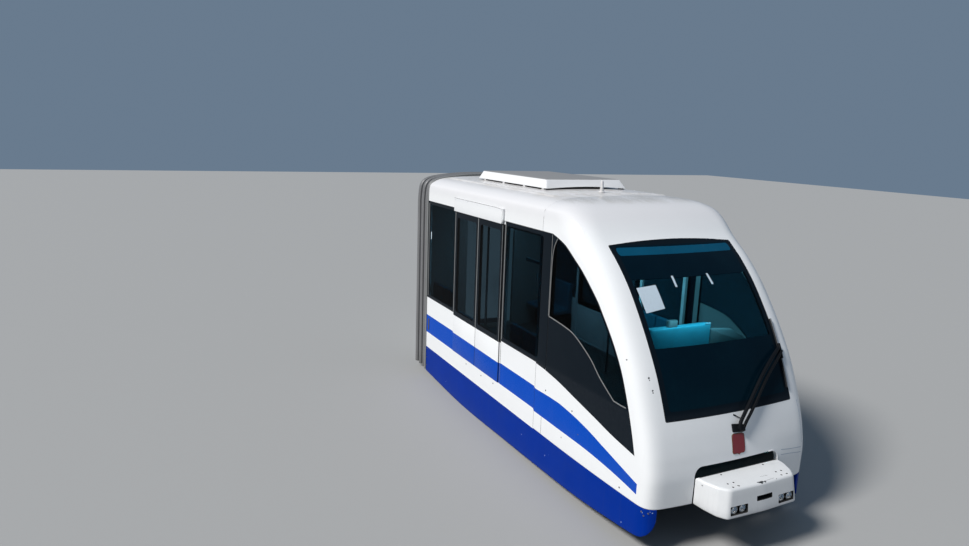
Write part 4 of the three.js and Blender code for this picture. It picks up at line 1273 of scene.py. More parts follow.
@dataclass
class NoseSurface:
    """The nose skin over two parameters.

    u runs from 1 at the left seam over 0 at the front to -1 at the right seam, and v from 0 at
    the bottom to 1 at the top.
    """

    side_u: float = 0.42
    face_u: float = 0.25
    across: float = 3100.0
    up: float = 3600.0

    def __post_init__(self) -> None:
        """Prepares the curves over v."""
        rows = np.array(NOSE_ROWS, float)
        centre = np.linalg.norm(np.diff(rows[:, [1, 0]], axis=0), axis=1)
        section = np.linalg.norm(np.diff(rows[:, [2, 0]], axis=0), axis=1)
        at = np.concatenate([[0.0], np.cumsum(0.5 * (centre + section))])
        at /= at[-1]
        self.curves = [monotone(at, rows[:, k]) for k in range(5)]
        self.table_v = np.linspace(0, 1, 3001)
        self.table_z = self.curves[0](self.table_v)

    def raw(self, u: np.ndarray, v: np.ndarray) -> np.ndarray:
        """Points of the skin."""
        z, front, half, face, corner = (curve(v) for curve in self.curves)
        bulge = BULGE_DEPTH * (face / BULGE_HALF) ** 2
        corner_x = front - bulge - corner
        a = np.abs(u)
        t = np.clip((1 - a) / (1 - self.side_u), 0, 1)
        x_side = SEAM_X + (corner_x - SEAM_X) * t
        y_side = half - taper(x_side)
        b = np.clip((self.side_u - a) / (self.side_u - self.face_u), 0, 1)
        end_y = half - taper(corner_x)
        slope = taper(corner_x) - taper(corner_x + 1)
        ky = -2 * bulge / face
        k_len = np.sqrt(ky ** 2 + 1)
        reach = CORNER_HANDLE * (end_y - face)
        c0x, c0y = corner_x, end_y
        ahead = CORNER_HANDLE * corner
        c1x, c1y = corner_x + ahead, end_y + slope * ahead
        c2x, c2y = front - bulge + ky / k_len * reach, face + reach / k_len
        c3x, c3y = front - bulge, face
        w0, w1, w2, w3 = (1 - b) ** 3, 3 * b * (1 - b) ** 2, 3 * b * b * (1 - b), b ** 3
        x_corner = w0 * c0x + w1 * c1x + w2 * c2x + w3 * c3x
        y_corner = w0 * c0y + w1 * c1y + w2 * c2y + w3 * c3y
        share = np.clip(a / self.face_u, 0, 1)
        y_face = face * share
        x_face = front - bulge * share ** 2
        on_side, on_face = a >= self.side_u, a <= self.face_u
        x = np.where(on_side, x_side, np.where(on_face, x_face, x_corner))
        y = np.where(on_side, y_side, np.where(on_face, y_face, y_corner))
        return np.stack([x, np.sign(u) * y, z], axis=-1)

    def place(self, uv: np.ndarray,
              depth: float | np.ndarray = 0.0) -> tuple[np.ndarray, np.ndarray]:
        """Points at a depth below the skin, and the skin's normals there.

        Args:
            uv: Parameters, one pair to a row.
            depth: Depth below the skin.

        Returns:
            The points and the outward normals.
        """
        u, v = uv[:, 0], uv[:, 1]
        du, dv = 6e-4, 6e-4
        u0, u1 = np.clip(u - du, -1, 1), np.clip(u + du, -1, 1)
        v0, v1 = np.clip(v - dv, 0, 1), np.clip(v + dv, 0, 1)
        along = self.raw(u1, v) - self.raw(u0, v)
        up = self.raw(u, v1) - self.raw(u, v0)
        normal = unit(np.cross(up, along) * -1.0)
        point = self.raw(u, v)
        out = point - np.array([1500.0, 0.0, 1500.0])
        normal *= np.sign(np.sum(normal * out, axis=1, keepdims=True))
        return point - normal * np.reshape(depth, (-1, 1)), normal

    def v_of(self, z: np.ndarray) -> np.ndarray:
        """Parameter of a height."""
        return np.interp(z, self.table_z, self.table_v)

    def _solve(self, v: np.ndarray, wanted: np.ndarray, column: int, rising: bool) -> np.ndarray:
        """Parameter across the skin where one coordinate has the wanted value."""
        batch, steps = 400, np.linspace(0, 1, 481)
        found = np.empty(len(v))
        for start in range(0, len(v), batch):
            part = slice(start, start + batch)
            rows = self.raw(np.tile(steps, (len(v[part]), 1)),
                            np.repeat(v[part, None], len(steps), axis=1))
            for i, (line, value) in enumerate(zip(rows[..., column], wanted[part])):
                order = slice(None) if rising else slice(None, None, -1)
                found[start + i] = np.interp(value, line[order], steps[order])
        return found

    def from_side(self, xz: Loop, side: float) -> Loop:
        """Parameters of points given as x and z on one side."""
        v = self.v_of(xz[:, 1])
        return np.stack([side * self._solve(v, xz[:, 0], 0, False), v], axis=1)

    def from_front(self, yz: Loop) -> Loop:
        """Parameters of points given as y and z on the front."""
        v = self.v_of(yz[:, 1])
        return np.stack([np.sign(yz[:, 0]) * self._solve(v, np.abs(yz[:, 0]), 1, True), v], axis=1)

    def triangles(self, loops: Sequence[Loop], inner: Sequence[Loop], spacing: float) -> tuple[
            np.ndarray, np.ndarray]:
        """Triangles over a stretch of the skin.

        Args:
            loops: The outer loop of parameters, then the holes.
            inner: Loops that the triangles follow inside.
            spacing: Size of a triangle.

        Returns:
            Parameters of the corners, and the triangles between them.
        """
        scale = np.array([self.across, self.up])
        bounds = [loop * scale for loop in loops]
        lines = bounds + [loop * scale for loop in inner]
        fixed = np.vstack(lines)
        low, high = bounds[0].min(0), bounds[0].max(0)
        columns = np.arange(low[0] + spacing / 2, high[0], spacing)
        rows = np.arange(low[1] + spacing / 2, high[1], spacing)
        free = np.stack(np.meshgrid(columns, rows), axis=-1).reshape(-1, 2)
        keep = inside(free, bounds[0])
        for hole in bounds[1:]:
            keep &= ~inside(free, hole)
        free = free[keep]
        near = np.array([np.min(np.sum((fixed - p) ** 2, axis=1))
                         for p in free]) if len(free) else np.empty(0)
        free = free[near > (0.5 * spacing) ** 2]
        edges, base = [], 0
        for line in lines:
            n = len(line)
            edges += [(base + i, base + (i + 1) % n) for i in range(n)]
            base += n
        points = np.vstack([fixed, free])
        spots, _, faces, origin, _, _ = delaunay_2d_cdt(
            [Vector(p) for p in points], edges, [], 0, CDT_ERROR, True)
        exact = np.array([points[o[0]] if o else np.array(s[:]) for s, o in zip(spots, origin)])
        faces = np.array([f for f in faces if len(f) == 3])
        middle = exact[faces].mean(axis=1)
        keep = inside(middle, bounds[0])
        for hole in bounds[1:]:
            keep &= ~inside(middle, hole)
        return exact / scale, faces[keep]

    def sheet(self, draft: MeshDraft, loops: Sequence[Loop], depth: float, outward: bool,
              spacing: float = 42.0, finish: int | Callable[[np.ndarray], np.ndarray] = 0,
              inner: Sequence[Loop] = ()) -> None:
        """Adds a stretch of the skin, at a depth, to a draft."""
        uv, faces = self.triangles(loops, inner, spacing)
        points, normals = self.place(uv, depth)
        a, b, c = (points[faces[:, k]] for k in range(3))
        turned = np.sum(np.cross(b - a, c - a) * normals[faces[:, 0]], axis=1) < 0
        if not outward:
            turned, normals = ~turned, -normals
        faces = np.where(turned[:, None], faces[:, ::-1], faces)
        kinds = finish if isinstance(finish, int) else finish(points[faces].mean(axis=1))
        draft.add(points, faces, kinds, normals)

    def edge(self, draft: MeshDraft, loop: Loop, outer: float, inner: float, finish: int = 0,
             closed: bool = False) -> None:
        """Adds the band between two depths along a line of parameters."""
        draft.strip(self.place(loop, outer)[0], self.place(loop, inner)[0], finish, closed)

    def bead(self, draft: MeshDraft, loop: Loop, width: float, height: float, closed: bool = False,
             sink: float = 2.0) -> None:
        """Adds a bead on the skin along a line of parameters."""
        draft.bead(*self.place(loop), width, height, closed, sink=sink)


NOSE = NoseSurface()

# Side outline of the nose glass: columns x, z
SAIL_FRONT = [(1224, 2696), (1352, 2659), (1504, 2602), (1680, 2491), (1876, 2358), (2124, 2141),
              (2216, 2040), (2417, 1792), (2589, 1526), (2717, 1235), (2816, 954), (2882, 727)]
SAIL_LOW = [(2882, 727), (2532, 796), (2225, 871), (1885, 947), (1517, 1026), (1224, 1068)]
# Upper end of the opaque black on the nose glass: columns x, z
SAIL_SEAL = [(1232, 1727), (1301, 1724), (1580, 1694), (1784, 1647), (2080, 1486), (2271, 1327),
             (2514, 1163)]
SAIL_SEAL_END = [(2514, 1163), (2614, 1158), (2708, 1158)]
# Windscreen on the left: columns y, z
SCREEN_HALF = [(858, 1086), (866, 2656), (440, 2688)]
ARCH_CORNERS = [(574, 242), (574, 628), (-574, 628), (-574, 242)]
STEP = 20.0


def sail_outline() -> Loop:
    """Closed outline of the nose glass, x and z."""
    rear = evenly([SAIL_LOW[-1], SAIL_FRONT[0]], STEP)
    return chained(spline(SAIL_FRONT, STEP), spline(SAIL_LOW, STEP), rear)


def screen_outline(depth: float = 0.0) -> Loop:
    """Closed outline of the windscreen drawn in by a depth, y and z."""
    half = np.array(SCREEN_HALF, float)
    plain = inset(np.vstack([half, (0, 2700), half[::-1] * [-1, 1]]), depth)
    top = spline(plain[1:-1], STEP * 2)
    radii = np.zeros(len(top) + 2)
    radii[[0, 1, -2, -1]] = 14.0
    return rounded(np.vstack([plain[:1], top, plain[-1:]]), radii, STEP)


@dataclass
class NoseBody:
    """The moulded nose shell with its window seats and the arch over the coupler."""

    lip: float = 12.0
    pane_front: float = 1219.0
    hole_inset: float = 40.0
    ledge: float = 10.3
    rim_from_y: float = 420.0

    def notch(self, side: float) -> Loop:
        """Open line round the side glass, from the seam below it to the seam above it."""
        foot = evenly([(SEAM_X, GLASS_LOW_Z), (self.pane_front, GLASS_LOW_Z), SAIL_LOW[-1]], STEP)
        low, front = (spline(line, STEP)[::-1] for line in (SAIL_LOW, SAIL_FRONT))
        head = evenly([SAIL_FRONT[0], (SEAM_X, GLASS_TOP_Z)], STEP)
        return NOSE.from_side(np.vstack([chained(foot, low, front), head]), side)

    def holes(self, side: float) -> list[Loop]:
        """The two openings of the inner wall on one side."""
        pane = rounded(box(SEAM_X + 40, self.pane_front - 33, 1140, 2656), 20, STEP * 2)
        sail = inset(sail_outline(), self.hole_inset)
        return [NOSE.from_side(loop, side) for loop in (pane, sail)]

    def seam(self, z0: float, z1: float, side: float) -> Loop:
        """Parameters up one seam between two heights."""
        v = np.linspace(NOSE.v_of(z0), NOSE.v_of(z1), max(2, int(abs(z1 - z0) / 40)))
        return np.stack([np.full_like(v, side), v], axis=1)

    def build(self) -> None:
        """Makes the shell and puts it on the car."""
        draft = MeshDraft()
        lip_z, top_z = SKIN_LOW_Z + self.lip, NOSE_ROWS[-1][0]
        notch = {side: self.notch(side) for side in (LEFT, RIGHT)}
        holes = {side: self.holes(side) for side in (LEFT, RIGHT)}
        low_seam, middle_seam, high_seam = (
            {side: self.seam(z0, z1, side) for side in (LEFT, RIGHT)}
            for z0, z1 in ((lip_z, GLASS_LOW_Z), (GLASS_LOW_Z, GLASS_TOP_Z), (GLASS_TOP_Z, top_z)))
        arch = NOSE.from_front(self.arch(lip_z))
        low_left = np.stack([np.linspace(1, arch[0, 0], 60), np.full(60, NOSE.v_of(lip_z))], axis=1)
        low_right = low_left[::-1] * [-1, 1]
        crown = np.stack([np.linspace(-1, 1, 61), np.ones(61)], axis=1)
        screen = NOSE.from_front(screen_outline())
        screen_hole = NOSE.from_front(screen_outline(self.hole_inset))

        def rim(gap: dict[float, Loop]) -> Loop:
            """Edge of the shell, with the line that it takes past the side glass."""
            return chained(low_left, arch, low_right, low_seam[RIGHT], gap[RIGHT], high_seam[RIGHT],
                           crown, *(line[LEFT][::-1] for line in (high_seam, gap, low_seam)))

        NOSE.sheet(draft, [rim(notch), screen], 0.0, True)
        NOSE.sheet(draft, [rim(middle_seam), screen_hole, *holes[LEFT], *holes[RIGHT]], WALL, False,
                   60.0, 1)
        NOSE.sheet(draft, [screen, screen_hole], self.ledge, True, 60.0, 2)
        NOSE.edge(draft, screen, 0.0, self.ledge, 0, True)
        NOSE.edge(draft, screen_hole, self.ledge, WALL, 2, True)
        for side in (LEFT, RIGHT):
            ring = np.vstack([notch[side], middle_seam[side][::-1][1:-1]])
            NOSE.sheet(draft, [ring, *holes[side]], self.ledge, True, 60.0, 2)
            NOSE.edge(draft, notch[side], 0.0, self.ledge)
            for hole in holes[side]:
                NOSE.edge(draft, hole, self.ledge, WALL, 2, True)
            NOSE.edge(draft, low_seam[side], 0.0, WALL)
            NOSE.edge(draft, high_seam[side], 0.0, WALL)
            NOSE.edge(draft, middle_seam[side], self.ledge, WALL, 2)
            for end in (notch[side][:1], notch[side][-1:]):
                draft.add(np.vstack([NOSE.place(end, depth)[0]
                                     for depth in (0.0, self.ledge, WALL)]),
                          [(0, 1, 2)])
        NOSE.edge(draft, arch, 0.0, WALL)
        self.lip_strips(draft, low_left)
        self.lip_strips(draft, low_right)
        self.cap(draft, crown)
        draft.release("nose_body", "white lining trim", Slot.WHITE, "nose_shell", smooth=40.0,
                      outward=False)
        self.trims()

    def arch(self, lip_z: float) -> Loop:
        """Open line of the arch over the coupler, y and z, left foot to right foot."""
        corners = np.array(ARCH_CORNERS, float)
        corners[[0, -1], 1] = lip_z
        return rounded(corners, [0, 100, 100, 0], STEP, closed=False)

    def lip_strips(self, draft: MeshDraft, low: Loop) -> None:
        """Rounds the lower edge of the skin into its underside."""
        point, normal = NOSE.place(low)
        rows = [point]
        for angle in np.linspace(0, math.pi / 2, 5)[1:]:
            row = point - normal * self.lip * (1 - math.cos(angle))
            row[:, 2] = point[:, 2] - self.lip * math.sin(angle)
            rows.append(row)
        under = NOSE.place(low, WALL)[0]
        flat = under.copy()
        flat[:, 2] = SKIN_LOW_Z
        rows += [flat, under]
        draft.grid(np.stack(rows), 0)
        for k in (0, -1):
            draft.add(np.stack([row[k] for row in rows]), [list(range(len(rows)))], 0)

    def cap(self, draft: MeshDraft, crown: Loop) -> None:
        """Closes the flat top between the last slice and the seam."""
        for depth, outward in ((0.0, True), (WALL, False)):
            ring = NOSE.place(crown, depth)[0]
            back = ring.copy()
            back[:, 0] = ring[[0, -1], 0].mean()
            last_z, _, top = NOSE_ROWS[-1][:3]
            back[:, 2] += (CROWN_Z - last_z) * (1 - np.minimum(1, (ring[:, 1] / top) ** 2))
            rows = np.stack([ring, back] if outward else [back, ring])
            draft.grid(rows, 0 if outward else 1)
            if outward:
                outer_back = back
            else:
                draft.strip(outer_back, back, 0)

    def trims(self) -> None:
        """Seals, seam lines and the bright rim of the arch."""
        seals, grey, rim = MeshDraft(), MeshDraft(), MeshDraft()
        NOSE.bead(seals, NOSE.from_front(screen_outline(1.5)), 9.0, 1.6, True)
        for side in (LEFT, RIGHT):
            NOSE.bead(seals, NOSE.from_side(inset(sail_outline(), 1.5), side), 6.0, 1.2, True)
            for line, width in self.grey_lines():
                NOSE.bead(grey, NOSE.from_side(line, side), width, 2.4)
            for z0, z1 in ((SKIN_LOW_Z + 16, GLASS_LOW_Z - 4), (GLASS_TOP_Z + 4, 3084)):
                NOSE.bead(seals, self.seam(z0, z1, side), 4.0, 0.5)
            joint = evenly([(1184.0, 466.0), (1184.0, SKIN_LOW_Z + 14.0)], 60)
            NOSE.bead(seals, NOSE.from_side(joint, side), 5.0, 0.5)
        seals.release("nose_seals", "rubber", Slot.TRIM)
        grey.release("nose_grey_seals", "seal_grey", Slot.TRIM)
        self.black_strips()
        self.creases()
        line = self.arch(SKIN_LOW_Z + self.lip)
        line = line[line[:, 0] > self.rim_from_y]
        NOSE.bead(rim, NOSE.from_front(line), 14.0, 5.0, sink=6.0)
        rim.release("arch_rim", "white", Slot.WHITE, smooth=60.0)

    def black_strips(self) -> None:
        """Thin black band under the front side panes."""
        draft = MeshDraft()
        corners = [(SEAM_X + 3, 1086), (self.pane_front, 1069), (self.pane_front, 1098.5),
                   (SEAM_X + 3, 1098.5)]
        for side in (LEFT, RIGHT):
            loop = NOSE.from_side(rounded(corners, 2.0, STEP), side)
            NOSE.sheet(draft, [loop], -0.8, True)
            NOSE.edge(draft, loop, -0.8, 0.5, 0, True)
        draft.release("pane_foot_strips", "frit", Slot.TRIM)

    def creases(self) -> None:
        """Fine moulding lines on the left of the front face, drawn in a blue-grey painted shade."""
        draft = MeshDraft()
        for knots in ([(968, 1060), (982, 800), (986, 610)], [(627, 607), (777, 587), (967, 568)],
                      [(628, 552), (800, 534), (975, 508)]):
            NOSE.bead(draft, NOSE.from_front(spline(knots, STEP)), 6.0, 0.8)
        draft.release("face_creases", "crease_shade", Slot.TRIM)

    @staticmethod
    def grey_lines() -> list[tuple[Loop, float]]:
        """The light seals on the side glass, with their widths."""
        return [
            (spline(SAIL_SEAL, STEP), 13.0),
            (spline(SAIL_SEAL_END, STEP), 13.0),
            (evenly([(1221.0, 2690.0), (1221.0, 1735.0)], 60), 9.0),
            (spline([(1330, 2655), (1275, 2560), (1247, 2430), (1238, 2200), (1235, 1727)],
                    STEP * 1.5), 11.0),
        ]


@dataclass
class NosePanes:
    """Windscreen and nose side glass, with the blank sign on the screen."""

    edge: float = 3.0
    screen_bottom: float = 1172.0
    dark_top: float = 1732.0
    # Below dark_top and between header_low and header_top the pane is an opaque dark sheet of
    # painted shade
    header_low: float = 2346.0
    header_top: float = 2560.0
    strip_top: float = 2632.0
    strip_half: float = 800.0
    clear_half: float = 799.0

    def pane(self, name: str, loop: Loop, frit: Loop, inner: list[Loop],
             kinds: Callable[[np.ndarray], np.ndarray], finishes: str, node: str,
             backing: int = 1) -> None:
        """Makes one curved pane.

        Args:
            name: Name of the piece.
            loop: Parameters of its edge.
            frit: Parameters of the line where the black border ends.
            inner: Other lines that divide its finishes.
            kinds: Material index of a face from its middle.
            finishes: Names of its finishes, with spaces between them.
            node: Node that it stands for.
            backing: Material index of the black parts seen from inside.
        """
        draft = MeshDraft()

        def inside_kinds(middle: np.ndarray) -> np.ndarray:
            """Finishes of the inner face."""
            found = kinds(middle)
            return np.where(found == 1, backing, found)

        NOSE.sheet(draft, [loop], 0.0, True, 46.0, kinds, [frit, *inner])
        NOSE.sheet(draft, [loop], PANE, False, 46.0, inside_kinds, [frit, *inner])
        NOSE.edge(draft, loop, 0.0, PANE, 1, True)
        draft.release(name, finishes, Slot.GLASS, node, smooth=40.0)

    def build(self) -> None:
        """Makes all panes of the nose."""
        self.screen()
        for label, side in SIDES.items():
            self.sail(label, side)
        self.plates()

    def screen(self) -> None:
        """Windscreen with its border, strip, and a header and lower part that are an opaque dark
        sheet of painted shade.
        """
        outline = screen_outline(self.edge)
        frit = rounded([(-795, self.screen_bottom), (795, self.screen_bottom), (803, 2540),
                        (792, 2650), (-792, 2650), (-803, 2540)], [30, 30, 0, 30, 30, 0], STEP)
        clear, strip = (rounded(box(-half, half, low, high), radius, STEP)
                        for half, low, high, radius in (
                            (self.clear_half, self.dark_top, self.header_low, 12),
                            (self.strip_half, self.header_top, self.strip_top, 30)))

        def kinds(middle: np.ndarray) -> np.ndarray:
            """0 clear, 1 border, 2 dark backing (painted shade of the cab behind the glass), 3
            strip.
            """
            yz = middle[:, 1:3]
            zone = np.where(inside(yz, frit), 2, 1)
            zone = np.where(inside(yz, clear), 0, zone)
            return np.where(inside(yz, strip), 3, zone)

        self.pane("windscreen_pane", NOSE.from_front(outline), NOSE.from_front(frit),
                  [NOSE.from_front(clear), NOSE.from_front(strip)], kinds,
                  "screen_glass frit dark_screen teal_strip", "windscreen")

    def sail(self, label: str, side: float) -> None:
        """Nose side glass, clear above the seal and black below it."""
        outline = inset(sail_outline(), self.edge)
        front = inset(sail_outline(), 20.0)
        seal = np.vstack([spline(SAIL_SEAL, STEP), spline(SAIL_SEAL_END, STEP)[1:]])
        top = front[: len(spline(SAIL_FRONT, STEP)) - 1]
        top = top[(top[:, 0] > 1335) & (top[:, 1] > 1152)]
        rear = spline([(1235, 1727), (1238, 2200), (1247, 2430), (1275, 2560), (1332, 2648)],
                      STEP * 1.5)
        clear = np.vstack([rear[1:], top, seal[::-1]])

        def kinds(middle: np.ndarray) -> np.ndarray:
            """0 clear, 1 black."""
            return np.where(inside(middle[:, [0, 2]], clear), 0, 1)

        self.pane(f"nose_pane_{label}", NOSE.from_side(outline, side), NOSE.from_side(clear, side),
                  [], kinds, "side_glass frit lining", f"nose_glass_{label}", 2)

    def plates(self) -> None:
        """Blank white sign, and two short white bars on the windscreen that are painted reflections
        of lamps.
        """
        sign = [(-769, 2046), (-528, 2077), (-535, 2291), (-781, 2272)]
        # The two bars are painted reflections of lamps
        bars = [[(y0 - 13, 2261), (y0 + 13, 2261), (y1 + 13, 2363), (y1 - 13, 2363)]
                for y0, y1 in ((-279, -278), (226, 212))]
        draft = MeshDraft()
        for corners in (sign, *bars):
            loop = NOSE.from_front(rounded(corners, 4, STEP))
            NOSE.sheet(draft, [loop], -1.4, True, 40.0)
            NOSE.edge(draft, loop, -1.4, 1.0, 0, True)
        draft.release("blank_plates", "sign", Slot.CAB, smooth=40.0)


# Flat side of the body


def side_point(loop: Loop, y: float) -> np.ndarray:
    """Points of an x, z outline at one y."""
    return np.stack([loop[:, 0], np.full(len(loop), y), loop[:, 1]], axis=1)


@dataclass
class FlatPane:
    """A flat side window with its black border."""

    x0: float
    x1: float
    z0: float
    z1: float
    outer_y: float
    border: tuple[float, float, float, float]
    radius: float = 14.0
    glass: str = "side_glass"

    def build(self, name: str, side: float, node: str) -> None:
        """Makes the pane.

        Args:
            name: Name of the piece.
            side: 1 on the left and -1 on the right.
            node: Node that it stands for.
        """
        rear, front, low, high = self.border
        outer = rounded(box(self.x0, self.x1, self.z0, self.z1), self.radius, 90.0)
        inner = rounded(box(self.x0 + rear, self.x1 - front, self.z0 + low, self.z1 - high), 45.0,
                        90.0)
        n, m = len(outer), len(inner)
        edges = [(i, (i + 1) % n) for i in range(n)] + [(n + i, n + (i + 1) % m) for i in range(m)]
        flat = np.vstack([outer, inner])
        _, _, found, origin, _, _ = delaunay_2d_cdt(
            [Vector(p) for p in flat], edges, [], 0, CDT_ERROR, True)
        faces = np.array([[origin[i][0] for i in face] for face in found])
        faces = faces[inside(flat[faces].mean(axis=1), outer)]
        kinds = np.where(inside(flat[faces].mean(axis=1), inner), 0, 1)
        draft = MeshDraft()
        y0, y1 = side * self.outer_y, side * (self.outer_y - PANE)
        for y in (y0, y1):
            draft.add(side_point(flat, y), faces, kinds)
        draft.strip(side_point(outer, y0), side_point(outer, y1), 1, True)
        draft.release(name, f"{self.glass} frit", Slot.GLASS, node, smooth=30.0)


def upright(x: float, z0: float, z1: float, y: float) -> np.ndarray:
    """An upright line on the side."""
    return side_point(evenly([(x, z0), (x, z1)], 200), y)


@dataclass
class BodySides:
    """Side walls with their windows, rubbers, drain holes and markers."""

    pane_front: float = 1216.0
    drain_holes: tuple = ((-992, 436), (-485, 425), (-107, 440), (1250, 826), (1818, 786),
                          (2700, 300))

    def build(self) -> None:
        """Dresses both sides."""
        for label, side in SIDES.items():
            dress(f"side_wall_{label}", "white")
            self.windows(label, side)
            self.rubbers(label, side)
            self.marks(label, side)

    def windows(self, label: str, side: float) -> None:
        """Fixed windows behind and ahead of the doorway."""
        for place, x0, x1, border in (
                ("rear", REAR_X + 3, DOOR_REAR_X - 3, (70, 40, 50, 50)),
                ("front", DOOR_FRONT_X + 3, self.pane_front, (40, 190, 60, 50))):
            pane = FlatPane(x0, x1, GLASS_LOW_Z + 0.3, GLASS_TOP_Z - 0.3, HALF_WIDTH, border)
            pane.build(f"{place}_pane_{label}", side, f"{place}_window_{label}")

    def rubbers(self, label: str, side: float) -> None:
        """Window rubbers and the edges of the doorway."""
        y, up = side * HALF_WIDTH, (0.0, side, 0.0)
        low, top = GLASS_LOW_Z, GLASS_TOP_Z
        black, grey = MeshDraft(), MeshDraft()
        rear = rounded(box(REAR_X + 4, DOOR_REAR_X - 5, low + 2, top - 2), 8.0, 200.0)
        black.bead(side_point(rear, y), up, 7, 1.5, True)
        front = rounded([(self.pane_front, low + 2), (DOOR_FRONT_X + 5, low + 2),
                         (DOOR_FRONT_X + 5, top - 2), (self.pane_front, top - 2)], [0, 8, 8, 0],
                        200.0, False)
        black.bead(side_point(front, y), up, 7, 1.5)
        for x, width in ((DOOR_REAR_X - 12, 14), (DOOR_FRONT_X + 13, 14), (REAR_X + 34, 20)):
            grey.bead(upright(x, low + 30, top - 30, y), up, width, 2.5)
        for x in (DOOR_REAR_X - 2, DOOR_FRONT_X + 2):
            black.bead(upright(x, DOOR_SILL_Z + 2, low, y), up, 4, 0.8)
        black.release(f"window_rubbers_{label}", "rubber", Slot.TRIM)
        grey.release(f"window_strips_{label}", "seal_grey", Slot.TRIM)

    def marks(self, label: str, side: float) -> None:
        """Drain holes as rims round near-black discs of painted shade, a blank mark and the end
        marker.
        """
        holes, plate, marker = MeshDraft(), MeshDraft(), MeshDraft()
        ring = [(0, 1.2), (5.5, 1.2), (8.5, 2.0), (10, 0.2), (10, -4), (0, -4)]
        for x, z in self.drain_holes:
            y = HALF_WIDTH - float(taper(np.array(float(x))))
            holes.lathe([(r, side * h) for r, h in ring], (x, side * y, z), "y", 20)
        holes.release(f"drain_holes_{label}", "hole_shade", Slot.TRIM)
        plate.block((-2478, side * (HALF_WIDTH - 2), 2085),
                    (-2452, side * (HALF_WIDTH + 1.2), 2205), 1.0)
        plate.release(f"blank_mark_{label}", "sign", Slot.TRIM)
        shape = rounded(box(-2522, -2486, 548, 745), 16, 60.0)
        marker.prism(shape, "xz", side * (HALF_WIDTH - 3), side * (HALF_WIDTH + 7), 3.5)
        marker.release(f"end_marker_{label}", "bronze", Slot.TRIM)


